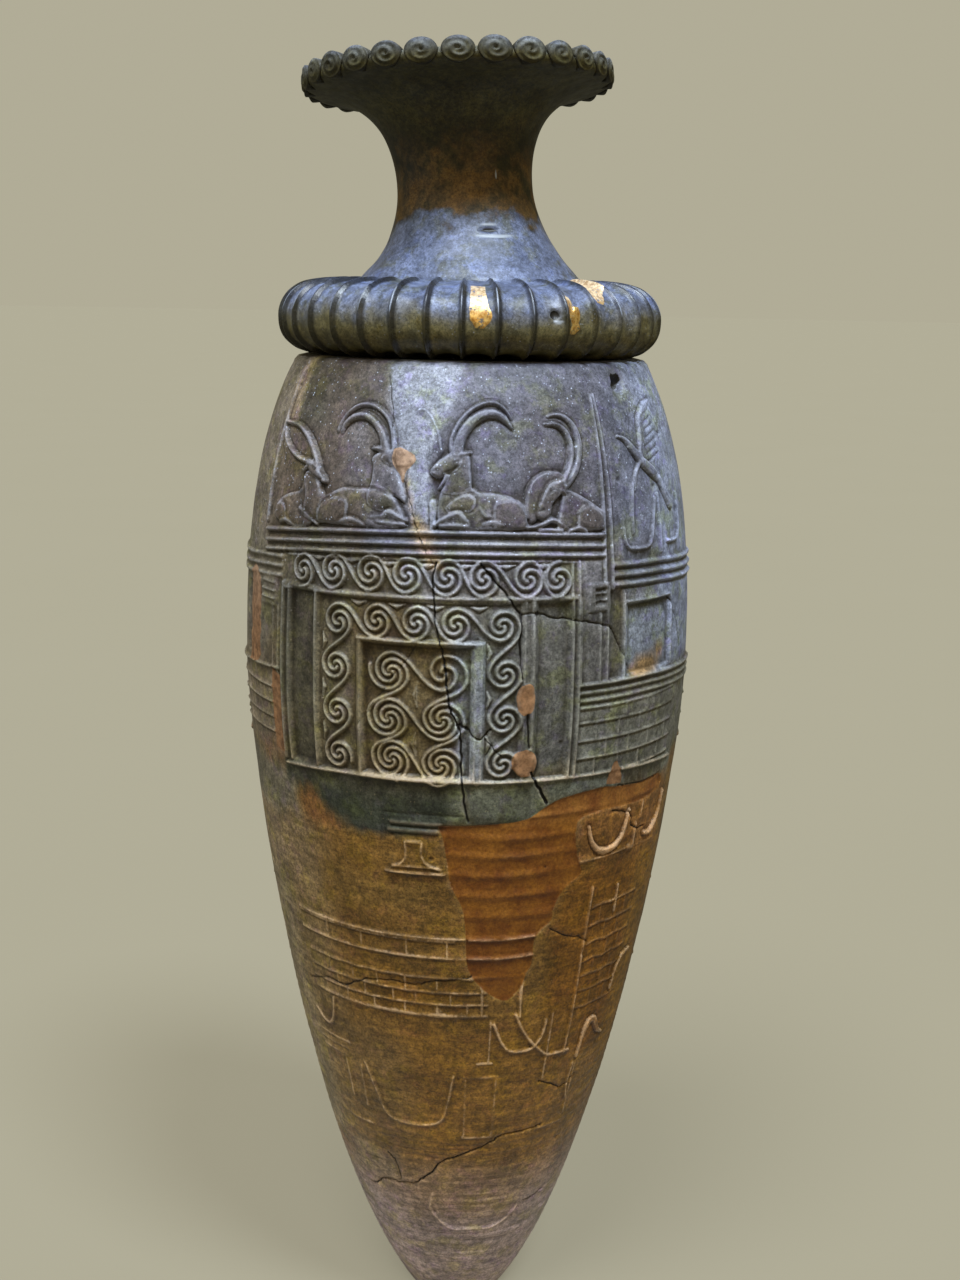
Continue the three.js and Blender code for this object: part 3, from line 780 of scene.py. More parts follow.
# %% Altar and upper horns
panel(curve([(-19.6, 168.7), (-18.4, 170.4), (-15.4, 172), (-14.4, 175), (-14.6, 178.6), (-10.4, 178.6),
             (-10.5, 175), (-9.8, 172.6), (-5.8, 170.4), (-5, 168.7)]), 0.4, 0.8)
ridge([(-20.2, 168.7), (-4.7, 168.9)], 1, 0.7)
ridge([(-18.2, 170.8), (-6, 171)], 0.8, 0.5)
ridge(curve([(-18.2, 170.4), (-16.4, 171.3), (-15, 172.8), (-14.5, 175.4), (-14.7, 178.4)]), 0.8, 0.5)
ridge(curve([(-5.6, 170.3), (-8.4, 171.4), (-9.9, 172.9), (-10.5, 175.4), (-10.3, 178.4)]), 0.8, 0.5)
ridge([(-15, 178.7), (-10.2, 178.7)], 0.8, 0.4, 0.7)
limb(curve([(33.6, 181), (35, 176), (37.6, 172.6), (40.6, 171.9), (43.8, 172.8), (46.2, 176), (47.8, 183)]),
     [0.9, 1.3, 1.8, 2.2, 2.2, 1.9, 1.6, 1.2], 1)
limb(curve([(57, 172.9), (59.2, 172.2), (61.4, 172.9), (64, 176), (65.4, 181.4), (66, 184)]),
     [1.6, 1.8, 1.6, 1.2], 1)
ridge(curve([(27, 169.9), (35, 169.9), (49, 170.3)]), 0.9, 0.4, 0.95)
ridge([(50, 170.3), (66, 168.8)], 0.8, 0.25, 0.6)
ridge([(51, 170), (51.4, 177.6)], 1.5, 0.8)
ridge([(49.8, 170.5), (51, 170.5)], 2.4, 0.8)
ridge([(53.4, 179), (54, 184)], 1, 0.5)
for height, start, end in ((184.5, -18, -5.8), (182.1, -18.6, -6.6)):
    ridge([(start, height), (end, height)], 1.5, 0.4, 0.8)
    groove([(start, height - 1.2), (end, height - 1.2)], 1, 0.3)
groove([(-20, 187.2), (-8, 187.4), (-0.6, 187.2)], 1.2, 0.3)
print("altar and horns; tallest relief", raised.max().round(2), "mm")

# %% Terraces of blocks
ridge(level(147.7, -54, 20), 1.1, 0.55)
ridge(level(141.2, -54, 20), 1, 0.45)
courses([146.8, 141], -54, 1, [(-42, -29.5, -15.5, -4)], 0.45, 1)
courses([134.2, 129.2, 125, 121.4], -52, 8, [(-43, -34, -25.5, -16.5, -7), (-40.5, -30, -20.5, -13.5, -3),
                                              (-46, -37, -27, -17, -7, 2)], 0.4, 0.98, 0.15)
ridge(level(120.9, -52, 8), 1, 0.5)
ridge([(6.4, 121.4), (6.2, 131)], 1, 0.6)
ridge(curve([(37.6, 160), (37.3, 145), (37.6, 120), (37.2, 103)]), 1.4, 0.6, 0.95)
courses([153.6, 147.4, 141.2, 135.2, 129.8, 124.4, 118.4], 38.5, 58,
        [(42, 53), (45, 50.5), (47.6, 53), (43, 50.5), (47.5, 53), (44, 51)], 0.4, 0.66, 0.45)
ridge([(41, 153.6), (53, 153.8)], 0.9, 0.4, 0.95)
ridge([(39, 147.4), (52, 147.2)], 0.9, 0.3, 0.85)
ridge([(48, 149.6), (47.8, 158.6)], 1, 0.7)
print("terraces; deepest cut", -cut.min().round(2), "mm")

# %% Horns and shrines near the tip
WORN_LINES = [
    (1, [(10.4, 118), (12.6, 112.4), (15, 108.6), (18, 107.2), (23, 107.2), (25.4, 109), (27.2, 112.4),
         (27.8, 117)]),
    (1, [(17, 121), (19.6, 115.4), (23, 110.4), (26.4, 107), (29.4, 104.4), (32, 103.7), (39, 103.5)]),
    (1, [(-55.5, 112), (-52, 109.2), (-49, 108.6), (-46.6, 110.6), (-45, 114), (-43.8, 119.4)]),
    (1, [(18.2, 136), (18, 128), (18.4, 120)]),
    (0.82, [(-34, 99), (-31.2, 90.4), (-28.6, 82.6), (-24.4, 79.8), (-15, 79.3), (-7, 81.4), (-4.2, 88),
            (-2, 99)]),
    (0.85, [(43.4, 97), (42.4, 90), (43.6, 84)]),
    (0.82, [(-11.6, 51), (-12.8, 47.5), (-13.6, 45), (-11.6, 42), (-8.5, 39.3), (-5, 36.9), (0, 35.8),
            (8, 36.2), (18, 35.8), (24, 37.4), (29, 40), (32.4, 44)]),
]
for worn, path in WORN_LINES:
    ridge(curve(path), 1.2, 0.7 * worn, 1.12 * worn)
limb(curve([(44.6, 99), (45.2, 106), (47, 111), (49.4, 111.4), (51.4, 109), (54, 105.6), (57.4, 103.8)]),
     [1.2, 1.8, 2.4, 2.4, 2.2, 1.8, 1.2], 0.9)
limb(curve([(55.6, 120), (56.6, 127), (59.6, 130.6), (64, 131)]), [1.4, 1.8, 2, 1.6], 0.8)
for worn, angle, low, high in ((1.05, 30, 95, 119), (1.05, -43, 84, 97.5), (1.05, -36.4, 82, 97.5),
                               (0.88, 2, 75.6, 97.5), (0.88, 12.6, 75.6, 98), (0.95, 44.6, 78, 97),
                               (1.05, 9.4, 104, 119)):
    ridge([(angle, low), (angle, high)], 1.2, 0.35, worn)
for worn, height, start, end in ((1.15, 104.4, -56, -40), (1.05, 101.8, -56, -41), (1, 99.2, -55, -42),
                                 (1, 75.4, -46, -36), (1.2, 75.3, 1.6, 12.8), (0.95, 75, 33, 45),
                                 (1.3, 103.7, 5.8, 10.6), (0.85, 98.4, 1.4, 13.2)):
    ridge([(start, height), (end, height)], 1.1, 0.35, worn)

# %% Marks of grinding round the tip
GRINDING = [(71.6, -34, 12), (70.2, -8, 12), (68.4, -30, -2), (66.2, -24, -8), (65, 12, 30), (62.6, -2, 26),
            (60.4, -44, -30), (57.3, -4, 24), (54.6, -2, 18), (51.8, -20, 16), (49.4, 2, 24), (46.6, -10, 16),
            (43.4, -30, 10), (40.6, -6, 26), (38.6, 20, 34), (33.4, -26, 20), (30.2, -10, 30), (27.6, -34, 4),
            (24.8, -20, 26), (21, -12, 34)]
for step, (height, start, end) in enumerate(GRINDING):
    middle = (start + end) / 2
    tilt = 0.5 * math.sin(2.3 * step)
    groove(curve([(start, height - tilt), (middle, height + 0.4), (end, height + tilt)]), 1.2, 0.32)
print(len(WORN_LINES), "worn outlines and", len(GRINDING), "marks of grinding")

# %% The back, in the same manner but plainer
BACK_LEDGES = ((222, 1.4, 0.7), (196.6, 1.4, 0.7), (147.7, 1.2, 0.5), (121, 1.2, 0.5), (98.6, 1.2, 0.4))
for start, end in ((84, 180), (-180, -84)):
    for height, width in RIGHT_MOULDINGS:
        ridge(level(height - 2.7, start, end), width, 0.7)
    for height, width, tall in BACK_LEDGES:
        ridge(level(height, start, end), width, tall)
    courses([217, 210.4, 203.8, 197.4], start, end,
            [np.arange(start + 6 + shift, end, 12) for shift in (0, 6, 0)], 0.5)
for middle in (110, 160, -150, -100):
    hoop = [(middle - 8, 184), (middle - 7, 176), (middle, 172), (middle + 7, 176), (middle + 8, 184)]
    ridge(curve(hoop), 1.6, 0.9)
    panel(box(middle - 9, middle + 9, 228, 247), -0.9, 1.1)
print("terraces and back done; tallest relief", raised.max().round(2), "mm")

# %% [markdown]
# ## Breaks, mends and wear
#
# The vase was found in pieces. Cracks still show where the pieces meet, small pinkish lumps of plaster hold
# the worst corners, and one large smooth orange fill, turned on a wheel while it was soft, stands in for a
# lost piece of the hillside. A crack is a path whose points are shaken a little, by a seeded hand, so that
# it wanders as broken stone does. The fill wipes the carving away inside its outline, and its edge is a
# small step, because plaster never ends quite level with stone.

# %% Smooth unevenness, the same in each run
hand = np.random.default_rng(7)


def drift(size, seed):
    """Smooth random hills over the sheet, between -1 and 1, about one size in millimetres across."""
    dice = np.random.default_rng(seed)
    across = np.linspace(0, 440 / size, len(turn))
    upward = rise / size
    knots = dice.uniform(-1, 1, (int(upward.max()) + 2, int(across.max()) + 2))
    knots[:, -1] = knots[:, 0]
    column, row = across.astype(int), upward.astype(int)
    blend_x = smoothstep(0, 1, across - column)[None, :]
    blend_y = smoothstep(0, 1, upward - row)[:, None]
    column = np.minimum(column, knots.shape[1] - 2)
    low = knots[row][:, column] * (1 - blend_x) + knots[row][:, column + 1] * blend_x
    high = knots[row + 1][:, column] * (1 - blend_x) + knots[row + 1][:, column + 1] * blend_x
    return low * (1 - blend_y) + high * blend_y


# The lower the carving sits on the vase, the more it is worn.
WORN_BELOW, FRESH_ABOVE = 60, 190
wear = smoothstep(WORN_BELOW, FRESH_ABOVE, rise)[:, None]
raised *= 0.78 + 0.22 * wear + 0.12 * drift(9, 1)
cut *= 0.7 + 0.3 * wear
crease *= 0.6 + 0.4 * wear
ground += 0.16 * drift(22, 2) + 0.07 * drift(6, 3)
turning = 0.1 * np.sin(rise * 2 * math.pi / 3.4)[:, None] * (1 - wear) * (0.5 + 0.5 * drift(30, 4))
ground += turning
print("worn; ground runs from", ground.min().round(2), "to", ground.max().round(2), "mm")

# %% The orange fill, and the smaller lumps of plaster
FILL = [(-6.4, 184), (-5, 180), (-4, 172), (-3, 165), (0, 158), (1, 150), (1.5, 140), (3, 135), (6, 131),
        (9.4, 128), (14, 126), (18, 131), (19, 135), (20.5, 138), (20.5, 146), (22, 149), (25, 152),
        (25.4, 156), (28, 162), (33, 166), (31, 172), (30, 183), (38, 185.4), (52, 184.6), (63, 186),
        (62, 190.6), (52, 190.6), (42, 191.8), (36, 192.8), (25, 191.4), (20, 188.8), (15, 185.6), (6, 184.6)]
FILL_RIDGES = ((187, 1.8), (180.2, 2.6), (174.4, 2.4), (168.2, 2.6), (161.6, 2.4), (155, 2.6), (148, 1.4),
               (141.4, 1.2), (134, 1.2))
FILL_EDGE = curve(FILL + FILL[:1], 3)
fill_place = window(FILL, 2)
fill_share = share_inside(curve(FILL, 3), 0.7, fill_place)
wander = rise[:, None] + 0.9 * drift(21, 14)
lathe_rings = sum(0.42 * np.exp(-((wander - height) / (0.5 * width)) ** 2) for height, width in FILL_RIDGES)
lathe_rings *= 0.75 + 0.45 * drift(17, 15)
fill_level = -0.42 + (lathe_rings + 0.16 * drift(14, 5) + 0.08 * drift(3, 16))[fill_place]
ground[fill_place] = ground[fill_place] * (1 - fill_share) + fill_level * fill_share
for sheet, kept in ((raised, 0.07), (cut, 0), (crease, 0), (rubbed_and_highlit, 0)):
    sheet[fill_place] *= 1 - fill_share * (1 - kept)
rub_and_highlight(fill_place, nearest(FILL_EDGE, *cells(*fill_place))[0] + 0.25, 0.8)
for height in (147.3, 141):
    ridge([(2, height), (11, height - 0.3), (20.4, height + 0.3)], 1, 0.5)
fill = np.zeros_like(ground)
fill[fill_place] = fill_share

LUMPS = [
    ([(12.2, 219), (11.8, 223), (13, 226), (15.4, 226.4), (16.2, 222), (15.6, 218.6), (13.6, 217.4)], 0.25),
    ([(11, 202), (11.4, 205.6), (14, 207.2), (16.6, 206), (17.4, 203), (16.4, 200), (13.6, 199)], 0.3),
    ([(-19.2, 290.8), (-17.6, 291.3), (-15.6, 290.4), (-13.6, 289.4), (-13.4, 287.8), (-14.6, 286.2),
      (-15.8, 284.6), (-16.2, 281.6), (-17.2, 284), (-18.6, 286), (-19.4, 288.4)], 0.3),
    ([(37.4, 193.6), (38.4, 197.6), (40.4, 200.4), (42.2, 196.6), (42.8, 193)], 0.15),
    ([(-70, 223), (-70, 250), (-66, 252), (-63, 248), (-62.4, 230), (-63.4, 224)], 0.1),
    ([(-55.4, 199), (-55.6, 222), (-53.4, 223), (-51.2, 220), (-52, 206), (-50.8, 199)], -0.1),
]
for outline, height in LUMPS:
    place = window(outline, 2)
    share = share_inside(curve(list(outline) + [outline[0]], 3), 0.8, place)
    ground[place] = ground[place] * (1 - share) + (height + 0.25 * drift(2.2, 6)[place]) * share
    for sheet, kept in ((raised, 0.2), (cut, 0), (crease, 0), (rubbed_and_highlit, 0.1)):
        sheet[place] *= 1 - share * (1 - kept)
    plaster[place] = np.maximum(plaster[place], share)
print("fill and", len(LUMPS), "lumps of plaster")

# %% Cracks and chips
BROKEN_EDGE = 0.5  # the value of the broken sheet at the lip of a crack, and how far it takes to fall to 0
BROKEN_REACH = 1.5
NARROWEST = 0.32  # half the width below which a crack would fall between the sheet's cells


def crack(points, width=0.4, depth=0.9, shake=0.16):
    """An open crack that wanders between the points, and narrows and widens as it goes."""
    path = curve(points, 5)
    scale = mm_per_degree[np.clip(np.searchsorted(rise, path[:, 1]), 0, len(rise) - 1)]
    path[1:-1, 0] += hand.normal(0, shake, len(path) - 2) / scale[1:-1]
    path[1:-1, 1] += hand.normal(0, shake, len(path) - 2)
    opening = hand.uniform(0.55, 1.25, max(3, len(points))) * width
    place = window(path, 2)
    distance, along = nearest(path, *cells(*place))
    half = 0.5 * np.interp(along, np.linspace(0, 1, len(opening)), opening)
    sunk = 1 - smoothstep(0.3, 1.3, distance / np.maximum(half, NARROWEST))
    cut[place] = np.minimum(cut[place], -depth * sunk)
    dark = np.clip(BROKEN_EDGE + (1.3 * half - distance) / BROKEN_REACH, 0, 1)
    broken[place] = np.maximum(broken[place], dark)


def chip(angle, height, size, depth):
    """A pit where a flake of stone is gone."""
    place = window([(angle, height)], size)
    distance, _ = nearest([(angle - 0.01, height), (angle + 0.01, height)], *cells(*place))
    hollow = rounded(1 - distance / (size / 2) * (1 + 0.25 * drift(1.7, 8)[place]), 1)
    cut[place] = np.minimum(cut[place], -depth * hollow)
    broken[place] = np.maximum(broken[place], BROKEN_EDGE * min(2, depth + 0.5) * smoothstep(0, 0.6, hollow))


crack([(-7.4, 260.5), (-8, 256), (-7.8, 252), (-7.2, 243), (-5.5, 236), (-4.7, 229), (-4, 222), (-3.5, 219),
       (-2, 215), (-1.2, 212), (-0.9, 205), (-0.7, 199), (0, 192), (1.2, 185.5)], 0.42)
crack([(-2, 214.5), (0, 214), (2, 211.4), (4, 211), (6, 213.4)], 0.45)
crack([(4.6, 210.6), (7, 207.4), (9, 205)], 0.25, 0.4)
crack([(3, 260.6), (4.5, 258.5), (9, 252), (11.5, 248), (12.6, 246)], 0.42)
crack([(12.6, 246), (16, 246.6), (20, 245), (25, 244.2), (30, 243), (35, 241.5), (37, 240), (39, 236),
       (41, 231), (43, 227.4)], 0.26, 0.6)
crack([(12.6, 246), (12.5, 238), (12.7, 233), (13, 228)], 0.45)
crack([(14.6, 217.6), (15.3, 207.6)], 0.45)
crack([(16, 200.4), (18, 196), (20.6, 190.4)], 0.65, 1.1)
crack([(-16.2, 282.4), (-15.4, 280), (-13.4, 274), (-11.4, 267), (-8.2, 260.5)], 0.22, 0.35)
crack([(-24, 314), (-24.2, 311), (-22, 304), (-20.2, 297), (-19.6, 292)], 0.2, 0.3)
crack([(-26, 213), (-22.6, 219), (-18.4, 226), (-14, 233), (-11, 238.6)], 0.2, 0.3)
crack([(42, 192.2), (46, 191.6), (55, 190.6), (62, 191)], 0.3, 0.6)
crack([(41, 184.2), (46, 183), (49, 181), (50, 177.4), (53, 175.6), (57, 175)], 0.32, 0.7)
crack([(-56, 122.6), (-52, 123.6), (-45, 126), (-38, 125.6), (-32, 129), (-26, 130.6), (-20, 131.4),
       (-14, 131), (-8, 133), (-2, 134), (3, 135)], 0.26, 0.5)
crack([(25, 149.2), (30, 146), (34, 144.6), (38.4, 142)], 0.24, 0.4)
crack([(-47, 48), (-43, 49), (-36, 53), (-28, 53.4), (-20, 54.6), (-17, 56.4), (-11, 60.4), (-7, 65),
       (0, 68), (8, 70.6), (14, 73.2), (17, 75), (28, 75.6), (34, 76)], 0.34, 0.7)
crack([(-31, 65), (-28, 62), (-26.6, 55.4)], 0.3, 0.5)
crack([(29, 94), (36, 91), (40, 89), (46, 92)], 0.28, 0.5)
crack([(36, 44), (41, 44.6), (48, 46.2)], 0.4, 0.6)
crack([(60, 246), (66, 236), (70, 224), (78, 214)], 0.28, 0.5)
crack([(96, 239), (112, 235), (128, 242), (144, 237), (160, 241)], 0.5, 0.6)
crack([(-150, 150), (-128, 158), (-110, 152), (-88, 160), (-70, 156)], 0.6, 0.6)
crack([(150, 90), (175, 84), (179, 83)], 0.9, 0.7)

chip(48.2, 309, 5.4, 3.2)
chip(64, 294, 1.4, 0.6)
chip(55, 279.6, 1.2, 0.5)
chip(16.4, 246.4, 1.6, 0.8)
chip(23.6, 208.4, 1.4, 0.4)
for _ in range(46):
    chip(hand.uniform(-100, 100), hand.uniform(30, 305), hand.uniform(0.7, 1.9), hand.uniform(0.15, 0.45))
for _ in range(40):
    angle = hand.uniform(100, 260) - 360 * (hand.uniform() > 0.5)
    chip(angle, hand.uniform(30, 305), hand.uniform(0.8, 2.2), 0.3)

# A shallow groove follows an old break.
OLD_BREAK = [(-24, 318), (-24, 311), (-22, 304), (-20, 296), (-19, 291), (-18, 285), (-16, 279), (-13, 272),
             (-11, 265), (-7.6, 259.5)]
groove(OLD_BREAK, 0.6, 0.35)
print("open cracks cover", (100 * (broken > BROKEN_EDGE).mean()).round(2), "% of the sheet")

# %% Put the layers together, and keep the foot and the shoulder true
level_of_stone = ground + raised + cut + crease
kept_here = smoothstep(2.5, 7, rise) * (1 - smoothstep(SHOULDER - 2.5, SHOULDER, rise))
level_of_stone *= kept_here[:, None]


def soften(sheet, size):
    """A copy of the sheet blurred over a size in millimetres."""
    taps = np.exp(-0.5 * (np.arange(-2.5 * size, 2.5 * size + CELL_MM, CELL_MM) / size) ** 2)
    taps /= taps.sum()
    half = len(taps) // 2
    tall = np.pad(sheet, ((half, half), (0, 0)), mode="edge")
    sheet = sum(tap * tall[i:i + sheet.shape[0]] for i, tap in enumerate(taps))
    wide = np.pad(sheet, ((0, 0), (half, half)), mode="wrap")
    return sum(tap * wide[:, i:i + sheet.shape[1]] for i, tap in enumerate(taps))


fine_change = level_of_stone - soften(level_of_stone, 0.8)
broad_change = level_of_stone - soften(level_of_stone, 2.4)
# The finish paints crest paler and hollow darker: partly wear and dirt, partly a painted highlight and
# painted shade.
crest = smoothstep(0.05, 0.34, fine_change)
hollow = np.maximum(smoothstep(0.05, 0.34, -fine_change), 0.75 * smoothstep(0.12, 0.7, -broad_change))
print("carving runs from", level_of_stone.min().round(2), "to", level_of_stone.max().round(2), "mm")

# %% [markdown]
# ## Colours of the stone, before any texture
#
# The stone is one piece, but a fire stained it unevenly: purple-brown at the upper left, pale blue-grey
# across an old break, olive in the doorway, nearly black in the band below it, and warm ochre down to a
# greyer tip. These are broad washes with soft edges, so they are painted on a coarse sheet as a few named
# outlines, laid one over another like watercolour. The finish later adds everything finer. The colours are
# linear values.
# Some washes are painted light rather than stain: a bluish sheen at the right, a shadow band under the
# collar, a highlight down the far left edge, a lit jamb and highlit spirals in the doorway, and a shadow
# under the window's lintel.

# %% A coarse sheet for colour
COARSE_ROWS, COARSE_COLUMNS = 4, 5  # how many cells of the fine sheet go into one of this one
picked = slice(None, None, COARSE_ROWS), slice(None, None, COARSE_COLUMNS)
picked_cells = cells(*picked)
wobble = (1.6 * drift(16, 11) + drift(6, 12))[picked]
stone_colour = np.empty(wobble.shape + (3,))
stone_colour[:] = (0.105, 0.078, 0.042)


def wash(outline, colour, edge=8, strength=1):
    """Lays a colour inside an outline, with a soft and uneven edge this many millimetres wide."""
    depth = depth_inside(outline, *picked_cells) + wobble * min(1, edge / 5)
    share = (strength * smoothstep(-edge / 2, edge / 2, depth))[..., None]
    stone_colour[:] = stone_colour * (1 - share) + np.array(colour) * share


ALL_ROUND = 400
PURPLE_BROWN = (0.09, 0.069, 0.057)
BLUE_GREY = (0.102, 0.101, 0.13)
# The pale blue of the right side is a painted sheen of the cool right lamp on the polished stone.
PAINTED_BLUE_SHEEN = (0.205, 0.228, 0.31)
PALE_GREY = (0.215, 0.228, 0.282)
FIGURE_SHADE = (0.066, 0.05, 0.038)
DOOR_OLIVE = (0.124, 0.101, 0.06)
STONE_OLIVE = (0.126, 0.122, 0.1)
DARK_BAND = (0.036, 0.039, 0.026)
OCHRE_BROWN = (0.162, 0.083, 0.018)
RED_BROWN = (0.15, 0.062, 0.008)
TIP_GREY = (0.262, 0.194, 0.172)
print("a colour sheet of", stone_colour.shape[:2], "cells")

# %% Washes above the doorway
# Purple-brown, then bluer to the right of the old break, palest on the broken-off piece.
wash(box(-ALL_ROUND, ALL_ROUND, 262, 330), PURPLE_BROWN, 14)
wash([(-90, 226), (-59, 226), (-57, 270), (-59, 330), (-90, 330)], (0.175, 0.145, 0.11), 10, 0.9)
wash([(-58, 298), (-44, 298), (-44, 330), (-57, 330)], (0.075, 0.067, 0.05), 8, 0.9)
# A painted highlight: a pale pinkish strip down the far left edge near the shoulder.
wash([(-62, 296), (-56.6, 296), (-55.6, 330), (-63, 330)], (0.33, 0.24, 0.15), 3, 0.6)
wash([(-31, 280), (-18, 280), (-24, 330), (-33, 330)], (0.132, 0.12, 0.128), 8, 0.9)
wash([(-24, 262), (100, 262), (110, 330), (-24, 330)], BLUE_GREY, 6)
wash([(12, 262), (34, 262), (32, 308), (14, 306)], (0.096, 0.09, 0.11), 10)
# A painted sheen: from here to the right the stone is painted bluer and paler, for the cool right lamp's
# sheen over its own blue-grey.
wash(box(41, 54, 262, 330), (0.118, 0.124, 0.165), 8)
wash([(53, 225), (124, 225), (128, 330), (54, 330)], PAINTED_BLUE_SHEEN, 9)
wash([(-54, 303), (-22, 303), (-24, 330), (-54, 330)], (0.066, 0.052, 0.04), 4, 0.75)
wash([(-28, 286), (-19, 286), (-22, 304), (-28, 304)], (0.096, 0.08, 0.07), 3, 0.7)
wash([(-24, 330), (-24, 311), (-22, 304), (-20, 296), (-19, 291), (-18, 285), (-16, 279), (-13, 272),
      (-11, 265), (-7.6, 259), (-2, 259), (-5.6, 268), (-8.4, 276), (-9.2, 284), (-9.6, 291), (-7.6, 298),
      (-4, 306), (-1, 330)],
     PALE_GREY, 1.2)
wash([(-24, 330), (-24, 311), (-22, 304), (-20, 296), (-18.6, 290), (-9.6, 291), (-7.6, 298), (-4, 306),
      (-1, 330)],
     (0.27, 0.285, 0.345), 1.2, 0.7)
# A painted shadow: the top of the wall under the collar is painted darker where the collar's shadow falls.
wash(box(-4, 52, 305, 330), (0.084, 0.084, 0.106), 8, 0.55)
for middle, slabs, _, _ in GOATS:
    for outline, _ in slabs:
        wash(on_roof(middle, outline), FIGURE_SHADE, 2.5, 0.38)
wash(box(-62, -47, 262, 288), (0.13, 0.095, 0.068), 6, 0.6)
print("mean colour", stone_colour.mean(axis=(0, 1)).round(3))

# %% Washes on the doorway and the courts beside it
wash(box(-54, 27, 196, 262), DOOR_OLIVE, 5)
wash(box(-52, -39, 198, 250), (0.066, 0.056, 0.034), 3)
wash(box(-27, 0, 198, 250), (0.118, 0.083, 0.036), 6, 0.9)
wash([(-16, 251), (39, 251), (39, 267), (-14, 267)], (0.168, 0.162, 0.178), 5, 0.9)
wash(box(4, 12.4, 196, 252), (0.13, 0.132, 0.124), 5, 0.9)
# A painted highlight: the inner right jamb faces the upper-left lamp and is painted pale bluish.
wash([(-2, 198), (4.6, 198), (4.6, 240), (-3, 240), (-4, 224)], (0.175, 0.192, 0.222), 3, 0.8)
# A painted highlight: the spirals over the top of the doorway's frame are painted paler and bluer.
wash(box(-13, 3, 239, 250), (0.165, 0.168, 0.176), 4, 0.6)
wash(box(-38, -22, 204, 216), (0.158, 0.126, 0.07), 5, 0.6)
wash(box(-54, -48, 198, 214), (0.13, 0.1, 0.055), 3, 0.7)
wash(box(-50, -28, 250, 266), (0.096, 0.085, 0.062), 4, 0.6)
wash([(12.4, 200), (38, 204), (38, 251), (12.4, 251)], (0.096, 0.094, 0.088), 5, 0.9)
wash(box(27, 39, 224, 252), (0.09, 0.085, 0.08), 4, 0.8)
wash(box(40, 59, 225, 249), (0.178, 0.195, 0.232), 4)
wash([(42.6, 225), (44, 228.4), (48, 229.6), (52, 231.4), (56.4, 234), (58.2, 232), (57.4, 227.8),
      (53, 226), (47, 225)],
     (0.3, 0.18, 0.066), 1.6, 0.9)
# A painted shadow: a dark strip under the lintel at the top of the sunken window.
wash([(42, 244.8), (58.6, 244.6), (58.6, 247), (42, 247)], (0.045, 0.042, 0.012), 0.8, 0.85)
wash(box(37.2, 40.2, 227, 250), (0.08, 0.07, 0.042), 1.2, 0.75)
wash(box(40, 54, 249, 262), (0.138, 0.146, 0.18), 4)
wash([(27, 196), (96, 196), (96, 223), (27, 224)], STONE_OLIVE, 5, 0.9)
wash(box(-90, -54, 196, 226), (0.165, 0.125, 0.082), 6, 0.9)
wash(box(-90, -53, 236, 262), (0.155, 0.135, 0.1), 5, 0.8)
wash([(-64, 186), (-52, 186), (-51, 200), (-54, 204), (-64, 200)], (0.245, 0.14, 0.07), 4, 0.8)

# A strip of old filling runs down the break, from the second goat to the spirals.
wash([(-16.2, 284.5), (-15.2, 284.5), (-12.6, 272), (-13.4, 272)], (0.4, 0.3, 0.225), 1.2, 0.8)
wash([(-13.6, 272), (-11.8, 272.4), (-8.6, 268), (-8.4, 264), (-6.2, 261), (-5.6, 258.6), (-8.6, 258.4),
      (-10.4, 262), (-12.4, 266)], (0.46, 0.335, 0.215), 1.8, 0.9)
print("mean colour", stone_colour.mean(axis=(0, 1)).round(3))

# %% Washes on the hillside
# Warm ochre browns, redder to the right, olive at the lower left, and a paler, greyer tip.
wash(box(-ALL_ROUND, ALL_ROUND, -30, 197), OCHRE_BROWN, 2.5)
wash([(-132, 64), (-42, 64), (-40, 184), (-132, 184)], (0.205, 0.135, 0.058), 16, 0.9)
wash(box(-112, -58, 64, 184), (0.265, 0.198, 0.112), 12, 0.9)
wash(box(-90, -44, 156, 180), (0.26, 0.175, 0.09), 8, 0.7)
wash([(-50, 66), (-8, 66), (-12, 104), (-24, 112), (-50, 118)], (0.168, 0.098, 0.032), 12, 0.85)
wash([(-40, 156), (-8, 156), (-6, 167), (-40, 167)], (0.19, 0.105, 0.026), 6, 0.8)
wash([(-22, 145), (1, 145), (-2, 155), (-20, 155)], (0.125, 0.064, 0.013), 6, 0.7)
wash(box(-24, 4, 122, 136), (0.14, 0.064, 0.007), 8, 0.8)
wash(box(27, 82, 100, 168), RED_BROWN, 8)
wash([(30, 170), (68, 168), (68, 190), (32, 190)], (0.205, 0.09, 0.022), 5, 0.95)
wash(box(-18, 40, 66, 118), (0.19, 0.09, 0.014), 16, 0.8)
wash(box(57, 130, 92, 166), (0.19, 0.092, 0.01), 8, 0.8)
wash(box(74, 130, 60, 184), (0.105, 0.048, 0.008), 16, 0.9)
wash(box(-ALL_ROUND, ALL_ROUND, -30, 52), TIP_GREY, 36)
wash([(-24, 40), (30, 40), (28, 60), (-20, 62)], (0.24, 0.15, 0.078), 12, 0.6)
wash(box(-56, -26, 52, 66), (0.26, 0.19, 0.12), 6, 0.6)

